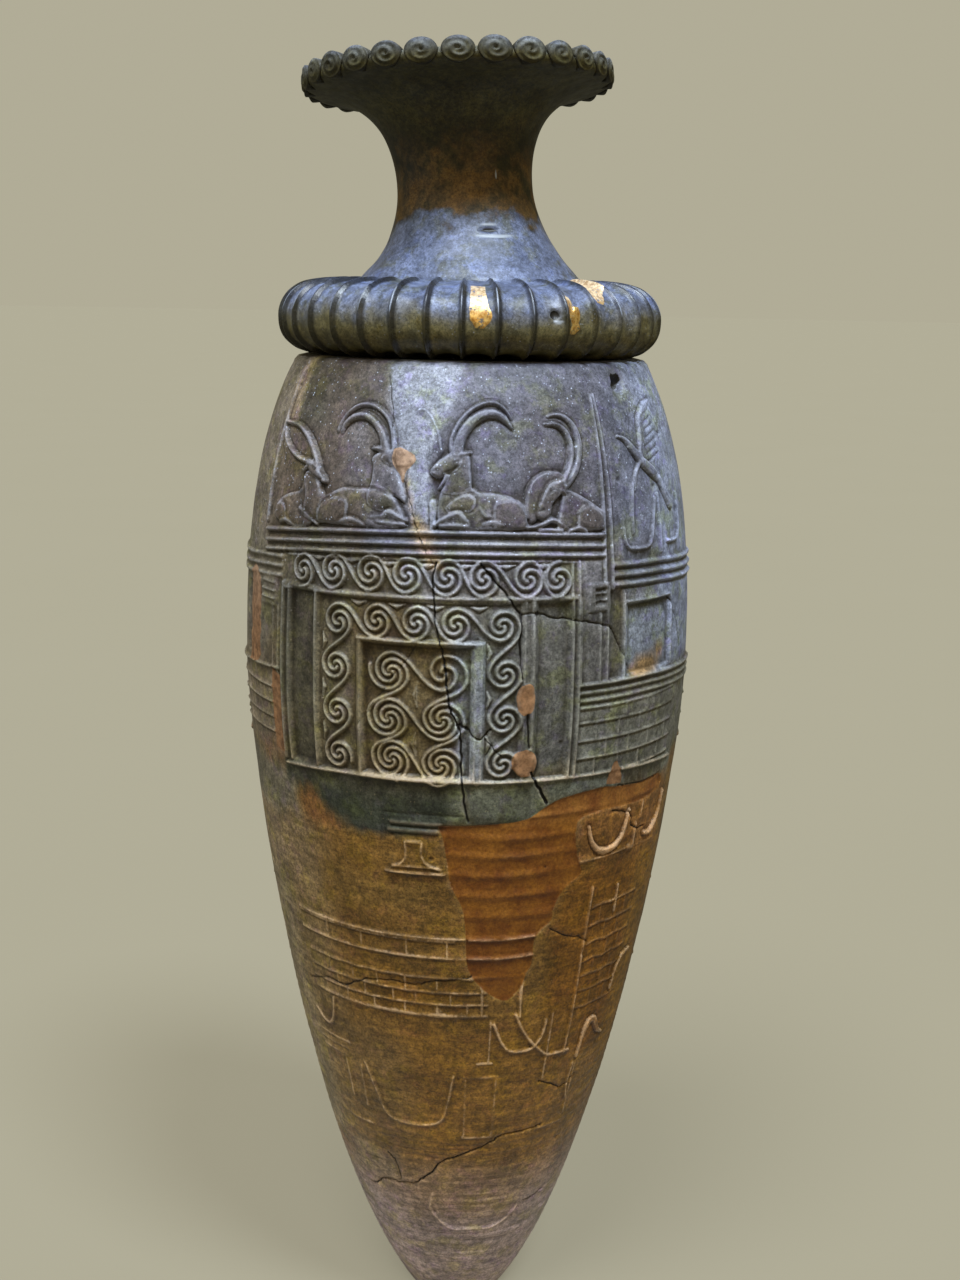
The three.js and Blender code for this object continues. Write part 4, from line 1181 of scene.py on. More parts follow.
# The dark band under the doorway, with a ragged lower edge, and an orange lobe that breaks into it.
wash([(-90, 178), (-48, 178), (-46, 196), (-90, 196)], (0.15, 0.13, 0.09), 5, 0.9)
wash([(-52, 190.6), (-47, 189.8), (-44.4, 189.6), (-40, 188.6), (-37.6, 185.4), (-33.4, 183.6), (-31, 180.8),
      (-27, 179.8), (-20, 180.2), (-16, 179.9), (-10, 181), (-6.6, 181.4), (-5.4, 184), (28, 185),
      (40, 192), (40, 197.4), (-52, 197.4)], DARK_BAND, 1.2)
wash(box(-52, -2, 192, 197.4), (0.07, 0.064, 0.04), 2.5, 0.8)
wash([(-4, 185), (18, 187), (40, 191), (40, 198), (-4, 198)], (0.112, 0.113, 0.08), 4, 0.9)
wash([(26, 191), (70, 190), (70, 198), (26, 198)], (0.14, 0.15, 0.125), 3, 0.9)
wash([(-47, 183), (-46.6, 187), (-43, 189), (-40.4, 188.2), (-39.4, 185.6), (-37, 183.4), (-33.6, 183.2),
      (-31, 180.2), (-30, 178.6), (-44, 178.4)], (0.235, 0.105, 0.03), 1.6, 0.9)
print("mean colour", stone_colour.mean(axis=(0, 1)).round(3))

# %% Washes on the hidden side
# A plainer mixture of the same browns and greys.
wash(box(98, 250, 182, 330), (0.125, 0.112, 0.1), 34, 0.95)
wash(box(-250, -95, 182, 330), (0.125, 0.108, 0.09), 30, 0.8)
print("the stone's colours run from", stone_colour.min().round(3), "to", stone_colour.max().round(3))

# %% [markdown]
# ## Wrapping the sheet round the body
#
# The body is turned like a pot: the same number of columns on every ring, with rings and columns packed
# close where the carving is fine and far apart at the back, the tip and inside. Each ring point is pushed
# out along the wall's own slope by what the sheet says. The inside is a plain hollow of true thickness that
# opens under the neck. A dense mesh of a million faces would be too heavy, so it is thinned by collapsing
# edges, which keeps points on the carving and takes them from flat stone.

# %% Where rings and columns go
WALL_THICKNESS = 8
HOLLOW_FLOOR = 46
MOUTH_RADIUS = 38
SEAT_RADIUS = 50.6
TRIANGLES_KEPT = 190000


def spaced(*stretches):
    """Values with their own spacing in each stretch: (start, end, step), ..."""
    values = [np.arange(start, end, step) for start, end, step in stretches]
    return np.concatenate(values + [[stretches[-1][1]]])


columns = spaced((-180, -84, 1.2), (-84, -62, 0.55), (-62, 64, 0.3), (64, 90, 0.5), (90, 180, 1.2))[:-1]
rings = spaced((0, 20, 1), (20, 66, 0.55), (66, 192, 0.42), (192, 306, 0.34), (306, SHOULDER, 0.5))
print(len(columns), "columns and", len(rings), "rings")


def read_sheet(sheet, angles, levels, cell_rows=1, cell_columns=1):
    """A sheet's values between its cells. Each cell may be as big as several of the fine sheet's."""
    column = np.clip((angles + 180) / (CELL_DEGREES * cell_columns), 0, sheet.shape[1] - 1.001)
    row = np.clip(levels / (CELL_MM * cell_rows), 0, sheet.shape[0] - 1.001)
    left, low = column.astype(int), row.astype(int)
    x, y = column - left, row - low
    return (sheet[low, left] * (1 - x) * (1 - y) + sheet[low, left + 1] * x * (1 - y)
            + sheet[low + 1, left] * (1 - x) * y + sheet[low + 1, left + 1] * x * y)


# %% Build the body's mesh
def ring_of(radius, height, angles=columns):
    """One ring of points of the same radius and height, in metres."""
    radians = np.radians(angles)
    radius = np.broadcast_to(radius, radians.shape)
    height = np.broadcast_to(height, radians.shape)
    return MM * np.column_stack([radius * np.sin(radians), -radius * np.cos(radians), height])


def new_piece(name, points, faces):
    """An object with a mesh of these points and faces."""
    mesh = bpy.data.meshes.new(name)
    mesh.from_pydata(points.tolist(), [], faces)
    mesh.shade_smooth()
    piece = bpy.data.objects.new(name, mesh)
    bpy.context.collection.objects.link(piece)
    return piece


def skin(name, ring_list):
    """A closed mesh through a stack of rings, with a point in the middle of the first and the last."""
    count = len(ring_list[0])
    points = np.vstack([ring_list[0].mean(axis=0)[None]] + ring_list + [ring_list[-1].mean(axis=0)[None]])
    around = np.arange(count)
    after = (around + 1) % count
    quads = [np.column_stack([1 + i * count + around, 1 + i * count + after,
                              1 + (i + 1) * count + after, 1 + (i + 1) * count + around])
             for i in range(len(ring_list) - 1)]
    last = 1 + (len(ring_list) - 1) * count
    faces = np.vstack(quads).tolist()
    faces += np.column_stack([np.zeros(count, int), 1 + after, 1 + around]).tolist()
    faces += np.column_stack([np.full(count, len(points) - 1), last + around, last + after]).tolist()
    return new_piece(name, points, faces)


slope = np.gradient(wall_radius(rings), rings)
lean_out = 1 / np.hypot(1, slope)
wall_rings = []
for height, out, tilt in zip(rings, lean_out, slope):
    proud = read_sheet(level_of_stone, columns, np.full(len(columns), height))
    wall_rings.append(ring_of(wall_radius(height) + proud * out, height - proud * out * tilt))
shoulder_rings = [ring_of(wall_radius(SHOULDER) - 0.5, SHOULDER + 1.2),
                  ring_of(wall_radius(SHOULDER) - 1.6, SHOULDER + 2.3),
                  ring_of(SEAT_RADIUS, BODY_TOP)]
inner_heights = np.linspace(SHOULDER - 5, HOLLOW_FLOOR + 4, 24)
inside_rings = [ring_of(MOUTH_RADIUS, BODY_TOP), ring_of(MOUTH_RADIUS, SHOULDER - 1)]
inside_rings += [ring_of(wall_radius(height) - WALL_THICKNESS, height) for height in inner_heights]
inside_rings += [ring_of(wall_radius(HOLLOW_FLOOR) * 0.45, HOLLOW_FLOOR + 0.6)]
carved_body = skin("carved_body", wall_rings + shoulder_rings + inside_rings)
print("dense body:", len(carved_body.data.polygons), "faces")


# %% Thin it
def apply_modifiers(piece):
    """Puts the shape that the piece's modifiers make into its mesh."""
    ready = piece.evaluated_get(bpy.context.evaluated_depsgraph_get())
    heavy, piece.data = piece.data, bpy.data.meshes.new_from_object(ready)
    piece.modifiers.clear()
    bpy.data.meshes.remove(heavy)
    piece.data.name = piece.name


def triangles_in(piece):
    """How many triangles the piece's faces come to."""
    return sum(len(face.vertices) - 2 for face in piece.data.polygons)


def thin(piece, triangles):
    """Collapses edges until about this many triangles are left."""
    fewer = piece.modifiers.new("thin", "DECIMATE")
    fewer.ratio = triangles / triangles_in(piece)
    apply_modifiers(piece)
    piece.data.shade_smooth()


thin(carved_body, TRIANGLES_KEPT)
print("carved body:", triangles_in(carved_body), "triangles")


# %% Write what the finish needs onto the body's points
def points_of(mesh):
    """The mesh's points as rows, in millimetres."""
    flat = np.empty(3 * len(mesh.vertices), np.float32)
    mesh.vertices.foreach_get("co", flat)
    return flat.reshape(-1, 3).astype(float) / MM


def write_value(mesh, name, values):
    """Keeps one value for each point of the mesh, under a name that its material can read."""
    mesh.attributes.new(name, "FLOAT", "POINT").data.foreach_set("value", values.astype(np.float32))


body_points = points_of(carved_body.data)
angle_of = np.degrees(np.arctan2(body_points[:, 0], -body_points[:, 1]))
height_of = body_points[:, 2]
reach_of = np.hypot(body_points[:, 0], body_points[:, 1])
outside = (reach_of > wall_radius(height_of) - 4.5) | (height_of > SHOULDER - 0.5)
for name, sheet in (("crest", crest), ("hollow", hollow), ("rubbed_and_highlit", rubbed_and_highlit), ("broken", broken),
                    ("plaster", plaster), ("fill", fill)):
    write_value(carved_body.data, name, np.where(outside, read_sheet(sheet, angle_of, height_of), 0))

channels = [read_sheet(stone_colour[..., channel], angle_of, height_of, COARSE_ROWS, COARSE_COLUMNS)
            for channel in range(3)]
rgba = np.column_stack(channels + [np.ones(len(angle_of))]).astype(np.float32)
painted_on = carved_body.data.attributes.new("stone_colour", "FLOAT_COLOR", "POINT")
painted_on.data.foreach_set("color", rgba.ravel())
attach(carved_body, "root")
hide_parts("body")
print("the body carries", len(carved_body.data.attributes), "attributes")

# %% [markdown]
# ## The neck
#
# The neck is a second piece of the same stone. Its foot is a plump collar cut all round into hollow flutes
# that meet in sharp edges, and its rim carries twenty-eight little scrolls, each a short roll with its
# coiled end turned outwards. The neck leans a little, to the left and back. It is turned from one outline
# like the body, the flutes are pressed into the rings as they are made, the scrolls are made once and
# joined on, and the lean comes last, so that everything leans together.

# %% Outline of the neck, from its underside up and down again through the bore
NECK_FOOT = 338
FLUTES = 36
FLUTE_DEGREES = 360 / FLUTES
FLUTE_DEPTH = 0.75
FLUTE_SAG = 1.05
FLUTE_PHASE = -2.3
COLLAR = [(50.2, 315.1), (53.6, 316.4), (56.7, 319), (58.2, 321.8), (58.7, 325), (58.5, 328.1), (57.3, 331.1),
          (55.2, 333.7), (51.6, 336), (46.5, 337.2), (41, 337.6), (38, 336.9)]
TUBE = [(36.2, 336.2), (34.4, 336.9), (31.7, 339.8), (28.7, 343), (26.4, 346.2), (24.5, 349.4), (22.6, 354),
        (21.2, 359), (20.6, 364), (20.8, 370), (22, 376), (24.4, 381.7), (28.2, 386.4), (33.4, 390),
        (39, 391.9), (43, 392.6), (45.6, 393.7), (46.1, 395.2), (45.2, 396.6)]
BORE = [(42.6, 397.4), (39.6, 397), (34.6, 394.6), (28, 391.2), (18, 381), (14.6, 370), (14.6, 354),
        (18, 338), (20, 315)]

collar_line = curve(COLLAR, 6)
tube_line = curve(TUBE, 8)
bore_line = curve(BORE, 3)
neck_line = np.vstack([collar_line, tube_line, bore_line])
fine_step, coarse_step = FLUTE_DEGREES / 30, FLUTE_DEGREES / 16
neck_columns = spaced((-180, -90, coarse_step), (-90, 90, fine_step), (90, 180, coarse_step))[:-1]
print("neck outline:", len(neck_line), "rings of", len(neck_columns), "points")


# %% Flutes, dents and leaf are pushed into the rings
def bumps(angles, height, size, seed):
    """Smooth random hills round a ring of the neck, between -1 and 1."""
    dice = np.random.default_rng(seed)
    total = np.zeros(len(angles))
    for wave, share in ((1, 0.5), (2.1, 0.3), (4.3, 0.2)):
        across, upward, start = dice.uniform(0.6, 1, 3)
        total += share * (np.sin(wave * across * angles / size + 7 * start)
                          * np.cos(wave * upward * height / size * 1.3 + 5 * across))
    return total


def away_from(mark, radius, height):
    """Distance of a ring's points from a mark (angle, height, half width, half height), 1 at its edge."""
    angle, middle, half_wide, half_tall = mark
    return np.hypot(np.radians(neck_columns - angle) * radius / half_wide, (height - middle) / half_tall)


LEAF_MM_PER_DEGREE = math.radians(50)
LEAF = [
    [(0, 336.8), (4.8, 336.9), (4.6, 334.4), (5, 331.4), (6, 328.6), (5.7, 325.6), (3.8, 323.6), (1.6, 324),
     (0.1, 326.4), (-0.2, 330), (0.2, 333)],
    [(28.8, 334.4), (30.2, 333.6), (30.8, 331), (32.4, 330.8), (32.9, 327.4), (32, 325.6), (32.8, 323.8),
     (31, 322), (29.2, 322.4), (29.6, 325.6), (28.7, 329)],
    [(45.6, 338.3), (53, 338.3), (49.8, 337), (47.2, 336), (45, 334.6), (44, 333.2), (42.8, 331.8),
     (40.4, 332), (39.6, 334), (40.2, 336), (42.6, 337.4)],
]
# Each dent and each scrape is a mark (angle, height, half width, half height), and a dent has its depth last.
DENTS = [(24.6, 328.2, 1.7, 1.9, 1.1), (15, 350, 3.4, 0.7, 0.6), (30, 330.4, 0.9, 1.4, 0.4),
         (-33, 336, 2.4, 0.6, 0.3), (7, 337, 4.5, 0.35, 0.3), (22, 361, 5, 0.4, 0.2)]
SCRAPES = [(18.5, 348.4, 6.4, 0.5), (15.5, 351.4, 3, 0.35), (25.4, 325.9, 1.6, 0.5), (27, 366, 0.3, 1.2)]
SCRAPE_DEPTH = 0.12
LEAF_STARTS = 318
line_step = np.gradient(neck_line, axis=0)
line_step /= np.linalg.norm(line_step, axis=1, keepdims=True)
neck_rings = []
neck_masks = {name: [] for name in ("leaf", "open_dent", "flute_shade_strip", "scraped", "arris_highlight")}
for (radius, height), (step_r, step_z) in zip(neck_line, line_step):
    on_collar = len(neck_rings) < len(collar_line)
    outside_face = len(neck_rings) < len(collar_line) + len(tube_line)
    from_edge = (neck_columns - FLUTE_PHASE) % FLUTE_DEGREES
    across = np.abs(from_edge / (FLUTE_DEGREES / 2) - 1)
    fluted = smoothstep(37, 42, radius) * on_collar
    push = -(FLUTE_DEPTH * (1 - smoothstep(0.76, 0.98, across)) + FLUTE_SAG * (1 - across ** 2)) * fluted
    # A painted shade: a strip beside each flute edge is marked to be painted near black, wider to the edge's
    # right.
    right_of_edge = from_edge < FLUTE_DEGREES / 2
    flute_shade_share = fluted * np.where(right_of_edge, smoothstep(0.66, 0.8, across),
                              0.8 * smoothstep(0.8, 0.9, across))
    # A painted highlight: a band along the upper part of each flute's edges is marked to be painted pale
    # bluish.
    arris_highlight_band = smoothstep(324, 329, height) * (1 - smoothstep(334.5, 336.5, height)) * fluted
    arris_highlight = (arris_highlight_band * np.clip((across - 0.8) / 0.2, 0, 1)
             * (0.75 + 0.25 * bumps(neck_columns, height, 6, 31)))
    gilded, opened, scraped = np.zeros((3, len(neck_columns)))
    if outside_face:
        push = push + 0.1 * bumps(neck_columns, height, 9, 21)
        if on_collar and height > LEAF_STARTS:
            ragged_edge = 0.3 * bumps(neck_columns, height, 1.1, 5)
            for flake in LEAF:
                depth = depth_inside(flake, neck_columns, height, LEAF_MM_PER_DEGREE)
                gilded = np.maximum(gilded, smoothstep(-0.5, 0.5, depth + ragged_edge))
            push = push + gilded * (0.22 + 0.12 * bumps(neck_columns, height, 0.8, 9))
        for *mark, depth in DENTS:
            away = away_from(mark, radius, height)
            push = push - depth * rounded(1 - away, 1)
            opened = np.maximum(opened, (1 - smoothstep(0.5, 1.1, away)) * min(1, 1.4 * depth))
        for mark in SCRAPES:
            away = away_from(mark, radius, height)
            push = push - SCRAPE_DEPTH * rounded(1 - away, 1)
            scraped = np.maximum(scraped, 1 - smoothstep(0.6, 1.1, away))
    neck_rings.append(ring_of(radius + push * step_z, height - push * step_r, neck_columns))
    for mask, values in zip(neck_masks.values(), (gilded, opened, flute_shade_share, scraped, arris_highlight)):
        mask.append(values)
print("flutes run from", neck_line[0], "to", neck_line[len(collar_line)])


# %% One scroll of the rim
SCROLLS = 28
SCROLL_PHASE = 0.8
SCROLL_HALF_WIDTH = 5
SCROLL_HALF_HEIGHT = 3.65
SCROLL_LENGTH = 9
SCROLL_MIDDLE = 396.1
SCROLL_FACE = 47.1
SCROLL_POINTS = 30


def scroll(seed):
    """Rings of a roll along x: its coiled face is at x = 0 and its tail, where it meets the rim, beyond."""
    dice = np.random.default_rng(seed)
    around = np.linspace(0, 2 * math.pi, SCROLL_POINTS, endpoint=False)
    start = dice.uniform(0, 2 * math.pi)
    worn = dice.uniform(0.35, 0.8)
    rings_of_scroll = []
    for share in np.linspace(0.04, 1, 13):
        winding = (share * 1.9 - (around + start) / (2 * math.pi)) % 1
        coiled = np.exp(-((winding - 0.5) / 0.26) ** 2)
        between_coils = 0.8 * worn * (1 - coiled) * smoothstep(1, 0.82, share)
        eye_of_coil = 0.6 * (1 - smoothstep(0, 0.2, share))
        sunk = between_coils + eye_of_coil + 0.9 * share ** 4
        rings_of_scroll.append(np.column_stack([sunk, share * np.cos(around), share * np.sin(around)]))
    for along, width in ((1.8, 0.99), (3, 0.96), (4.6, 0.9), (6.4, 0.8), (8, 0.66), (SCROLL_LENGTH, 0.4)):
        drop = 0.02 * along ** 1.6
        rings_of_scroll.append(np.column_stack([np.full(SCROLL_POINTS, along), width * np.cos(around),
                                                width * np.sin(around) - drop / SCROLL_HALF_HEIGHT]))
    size = dice.uniform(0.94, 1)
    return [MM * ring * (1, SCROLL_HALF_WIDTH * size, SCROLL_HALF_HEIGHT * size) for ring in rings_of_scroll]


def placed_scroll(number):
    """The rings of one scroll, set round the rim with its coiled face outwards."""
    rings_of_scroll = scroll(100 + number)
    turned = math.radians(SCROLL_PHASE + 360 / SCROLLS * number)
    outward = np.array([math.sin(turned), -math.cos(turned), 0])
    sideways = np.array([math.cos(turned), math.sin(turned), 0])
    face = MM * (SCROLL_FACE * outward + [0, 0, SCROLL_MIDDLE])
    return [face - ring[:, :1] * outward + ring[:, 1:2] * sideways + ring[:, 2:] * [0, 0, 1]
            for ring in rings_of_scroll]


print("a scroll is", 2 * SCROLL_HALF_WIDTH, "mm wide and", 2 * SCROLL_HALF_HEIGHT, "mm tall")

# %% Join the neck, lean it and thin it
LEAN_LEFT = 2.6
LEAN_BACK = 3.2
SET_LEFT = 0.6  # the neck sits a little to the left of the body's axis, in millimetres,
DRAWN_LEFT = 0.038  # and is drawn further left for every millimetre of its height
BEND_TOP = 352
NECK_TRIANGLES = 150000


def close_round(piece_name, ring_list):
    """A closed mesh whose last ring meets its first, like a ring doughnut."""
    count, deep = len(ring_list[0]), len(ring_list)
    points = np.vstack(ring_list)
    around, after = np.arange(count), (np.arange(count) + 1) % count
    faces = [np.column_stack([i * count + around, i * count + after, (i + 1) % deep * count + after,
                              (i + 1) % deep * count + around]) for i in range(deep)]
    return new_piece(piece_name, points, np.vstack(faces).tolist())


turned_neck = close_round("turned_neck", neck_rings)
for name, mask in neck_masks.items():
    write_value(turned_neck.data, name, np.concatenate(mask))
scroll_pieces = [skin(f"scroll_{number}", placed_scroll(number)) for number in range(SCROLLS)]
with bpy.context.temp_override(active_object=scroll_pieces[0], selected_editable_objects=scroll_pieces,
                               object=scroll_pieces[0], selected_objects=scroll_pieces):
    bpy.ops.object.join()
scrolls = scroll_pieces[0]
union = turned_neck.modifiers.new("scrolls", "BOOLEAN")
union.operation = "UNION"
union.solver = "MANIFOLD"
union.object = scrolls
apply_modifiers(turned_neck)
bpy.data.objects.remove(scrolls)
print("neck with scrolls:", len(turned_neck.data.polygons), "faces")

neck_points = points_of(turned_neck.data)
on_rim = smoothstep(36, 40, np.hypot(neck_points[:, 0], neck_points[:, 1]))
# rolled rises towards the top of the rim; the finish paints the tops of the scrolls pale bluish, a painted
# highlight.
write_value(turned_neck.data, "rolled", on_rim * np.clip((neck_points[:, 2] - 394) / 6, 0, 1))
share = smoothstep(NECK_FOOT - 2, BEND_TOP, neck_points[:, 2])
for i, (x, y, z) in enumerate(neck_points):
    if share[i] > 0:
        tilt = Euler((math.radians(-LEAN_BACK) * share[i], math.radians(-LEAN_LEFT) * share[i], 0))
        leaned = Vector((x, y, z - NECK_FOOT))
        leaned.rotate(tilt)
        neck_points[i] = leaned + Vector((0, 0, NECK_FOOT))
neck_points[:, 0] -= SET_LEFT + DRAWN_LEFT * np.maximum(neck_points[:, 2] - NECK_FOOT, 0)
turned_neck.data.vertices.foreach_set("co", (neck_points * MM).astype(np.float32).ravel())
turned_neck.data.update()
thin(turned_neck, NECK_TRIANGLES)
print("neck:", triangles_in(turned_neck), "triangles")


# %% Find the neck's crests and hollows from its own shape
def crests_and_hollows(mesh, rounds=6):
    """How far each point stands above (+) or below (-) a smoothed copy of the mesh, in millimetres."""
    points = points_of(mesh)
    edges = np.empty(2 * len(mesh.edges), np.int32)
    mesh.edges.foreach_get("vertices", edges)
    first, second = edges.reshape(-1, 2).T
    degree = np.bincount(edges, minlength=len(points))[:, None]
    smooth = points.copy()
    for _ in range(rounds):
        total = np.zeros_like(smooth)
        np.add.at(total, first, smooth[second])
        np.add.at(total, second, smooth[first])
        smooth = total / degree
    normals = np.empty(3 * len(points), np.float32)
    mesh.vertices.foreach_get("normal", normals)
    return ((points - smooth) * normals.reshape(-1, 3)).sum(axis=1)


standing = crests_and_hollows(turned_neck.data)
above_collar = smoothstep(337, 343, points_of(turned_neck.data)[:, 2])
write_value(turned_neck.data, "crest", smoothstep(0.05, 0.4, standing) * above_collar)
write_value(turned_neck.data, "hollow", smoothstep(0.05, 0.4, -standing))
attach(turned_neck, "root")
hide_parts("neck")
print("crests stand up to", standing.max().round(2), "mm")

# %% [markdown]
# ## Node groups that both stones share
#
# Both pieces are the same fine-grained stone, so their finishes are made from the same few effects, each a
# node group with named inputs: broad mottling, level streaks left by the wheel, a fine grain with dark
# flecks and pale specks, which also serve for painted glints, and wear with painted light, which lightens
# the crests of the carving, partly as wear and partly as a painted highlight, darkens its hollows, partly as
# dirt and partly as painted shade, and blackens open breaks. The groups put out only colours and heights.
# The shader that uses them stays in each material.

# %% Short names for the nodes that come up most
def grey(tone):
    """A grey, which darkens or lightens what it multiplies."""
    return (tone, tone, tone, 1)


def tinted(colour, tint, share=1):
    """A colour multiplied by another, all of it or a share."""
    return mixed(share, colour, tint, "MULTIPLY")


def layered(colour, *layers):
    """A colour with others laid over it in turn, each a pair (share, colour)."""
    for share, tone in layers:
        colour = mixed(share, colour, tone)
    return colour


def maths(operation, first, second, clamp=False):
    """One sum with two values."""
    return place_node("ShaderNodeMath", {0: first, 1: second}, operation=operation, use_clamp=clamp)[0]


def plus(first, second):
    """first + second"""
    return maths("ADD", first, second)


def minus(first, second):
    """first - second"""
    return maths("SUBTRACT", first, second)


def times(first, second):
    """first * second"""
    return maths("MULTIPLY", first, second)


def ramped(value, low, high):
    """Stretches a value so that low becomes 0 and high becomes 1."""
    return place_node("ShaderNodeMapRange", {"Value": value, "From Min": low, "From Max": high},
                      interpolation_type="SMOOTHSTEP")["Result"]


def noise(place, size, detail, roughness):
    """Cloudy noise whose features are about one size across, in millimetres."""
    return place_node("ShaderNodeTexNoise", {"Vector": place, "Scale": 1 / (size * MM), "Detail": detail,
                                             "Roughness": roughness})["Fac"]


def clouds(place, size, detail, roughness, low, high):
    """Cloudy noise, stretched so that low becomes 0 and high becomes 1."""
    return ramped(noise(place, size, detail, roughness), low, high)


def swing(place, size, detail, roughness, reach):
    """Cloudy noise that swings round 0, by half its reach to either side."""
    return times(minus(noise(place, size, detail, roughness), 0.5), reach)


def axes_of(place):
    """The X, Y and Z of a place."""
    return place_node("ShaderNodeSeparateXYZ", {0: place})


def new_group(name, inputs, outputs):
    """An empty node group with named sockets, what is given to it, and the node that takes its results."""
    group = bpy.data.node_groups.new(name, "ShaderNodeTree")
    for way, sockets in (("INPUT", inputs), ("OUTPUT", outputs)):
        for label, kind in sockets.items():
            group.interface.new_socket(label, in_out=way, socket_type="NodeSocket" + kind)
    return group, group.nodes.new("NodeGroupInput").outputs, group.nodes.new("NodeGroupOutput")


# %% Mottling
mottling, given, result = new_group(
    "stone_mottling",
    {"Colour": "Color", "Place": "Vector", "Amount": "Float", "Tinge": "Color", "Second Tinge": "Color"},
    {"Colour": "Color"})
tree, place, amount = mottling, given["Place"], given["Amount"]
darker = mixed(clouds(place, 13, 8, 0.72, 0.36, 0.62), grey(0.7), grey(1.28))
finer = mixed(clouds(place, 2.4, 6, 0.75, 0.34, 0.66), grey(0.58), grey(1.42))
clouded = tinted(tinted(given["Colour"], darker, amount), finer, amount)
for label, size, low in (("Tinge", 8, 0.5), ("Second Tinge", 5.3, 0.52)):
    clouded = tinted(clouded, given[label], clouds(place, size, 5, 0.7, low, low + 0.14))
feed(result, {"Colour": clouded})
print("mottling:", len(tree.nodes), "nodes")

# %% Level streaks left by grinding and turning
streaking, given, result = new_group(
    "turning_streaks", {"Colour": "Color", "Place": "Vector", "Top": "Float", "Amount": "Float"},
    {"Colour": "Color"})
tree, place = streaking, given["Place"]
drawn_out = place_node("ShaderNodeVectorMath", {0: place, 1: (0.1, 0.1, 1)}, operation="MULTIPLY")[0]
streak = clouds(drawn_out, 1.7, 5, 0.7, 0.36, 0.64)
streak_tone = mixed(streak, (0.68, 0.66, 0.64, 1), (1.3, 1.32, 1.36, 1))
below_top = minus(given["Top"], axes_of(place)["Z"])
streak_share = times(ramped(below_top, 0, 10 * MM), given["Amount"])
feed(result, {"Colour": tinted(given["Colour"], streak_tone, streak_share)})
print("streaks:", len(tree.nodes), "nodes")

# %% Grain and flecks
grain, given, result = new_group(
    "stone_grain",
    {"Colour": "Color", "Place": "Vector", "Dark Flecks": "Float", "Pale Specks": "Float",
     "Speck Colour": "Color"},
    {"Colour": "Color", "Height": "Float"})
tree, place = grain, given["Place"]
fine = noise(place, 0.75, 6, 0.8)
coarse = noise(place, 2.2, 4, 0.6)
pores = place_node("ShaderNodeTexVoronoi", {"Vector": place, "Scale": 1 / (1.1 * MM)}, feature="F1")
fleck_share = times(ramped(fine, 0.56, 0.68), given["Dark Flecks"])
flecked = tinted(given["Colour"], (0.35, 0.33, 0.32, 1), fleck_share)
speck = times(ramped(pores["Distance"], 0.26, 0.12), ramped(coarse, 0.48, 0.62))
specked = mixed(times(speck, given["Pale Specks"]), flecked, given["Speck Colour"])
grained_tone = mixed(ramped(fine, 0.38, 0.62), grey(0.6), grey(1.42))
pitted = minus(plus(fine, times(coarse, 1.6)),
               times(ramped(pores["Distance"], 0.2, 0.04), 0.5))
feed(result, {"Colour": tinted(specked, grained_tone), "Height": pitted})
print("grain:", len(tree.nodes), "nodes")

# %% Wear, with painted highlights and painted shade
wear_and_painted_light, given, result = new_group(
    "carving_wear_and_painted_light",
    {"Colour": "Color", "Crest": "Float", "Hollow": "Float", "Broken": "Float", "Rubbed And Highlit": "Float",
     "Crest Colour": "Color", "Hollow Colour": "Color", "Place": "Vector", "Crest Amount": "Float",
     "Rubbed And Highlit Amount": "Float", "Hollow Amount": "Float"},
    {"Colour": "Color"})
tree, place = wear_and_painted_light, given["Place"]
uneven = clouds(place, 2.6, 4, 0.65, 0.3, 0.62)
frayed = swing(place, 1.1, 5, 0.7, 0.9)
comes_and_goes = swing(place, 7, 3, 0.6, 0.9)
in_hollow = times(given["Hollow"], given["Hollow Amount"])
# Hollows are painted darker: partly dirt, partly painted shade.
dust_and_shade = mixed(in_hollow, given["Colour"], given["Hollow Colour"])
# Crests and pale lines are painted paler: partly wear, partly a painted highlight.
on_crest = times(times(given["Crest"], given["Crest Amount"]),
                 plus(times(uneven, 0.6), 0.4))
on_line = ramped(plus(plus(given["Rubbed And Highlit"], frayed), comes_and_goes), 0.56, 0.92)
on_line = times(on_line, given["Rubbed And Highlit Amount"])
lightened = mixed(maths("MAXIMUM", on_crest, on_line), dust_and_shade, given["Crest Colour"])
torn_edge = ramped(plus(given["Broken"], times(frayed, 0.22)), 0.44, 0.54)
feed(result, {"Colour": mixed(torn_edge, lightened, (0.012, 0.01, 0.008, 1))})
print("node groups:", [group.name for group in bpy.data.node_groups])

# %% [markdown]
# ## The body's finish
#
# The body is worn and only half polished. Its own colours come from the washes, some of which paint sheen
# and shade, then mottling, streaks and grain break them up; high up the pale specks are bluish and denser,
# painted glints. Then the carving is picked out: crests and worn lines are painted pale, partly wear and
# partly a painted highlight, bluish near the shoulder and warm lower down, and hollows are painted darker,
# partly dirt and partly painted shade. Fill and plaster are another material, so they cover the stone where
# their masks say, and are duller. The fill is paler near its top.

# %% Start a material, and finish it as stone
def new_material(name):
    """A new material, its node tree, and the place on the piece that is being coloured."""
    material = bpy.data.materials.new(name)
    material.use_nodes = True
    tex_coord = material.node_tree.nodes.new("ShaderNodeTexCoord")
    return material, material.node_tree, tex_coord.outputs["Object"]


def painted(name, output="Fac"):
    """What the mesh's points keep under a name."""
    return place_node("ShaderNodeAttribute", attribute_name=name)[output]


def use_group(group, inputs):
    """Places a node group with its inputs, and gives back its outputs."""
    return place_node("ShaderNodeGroup", inputs, node_tree=group)


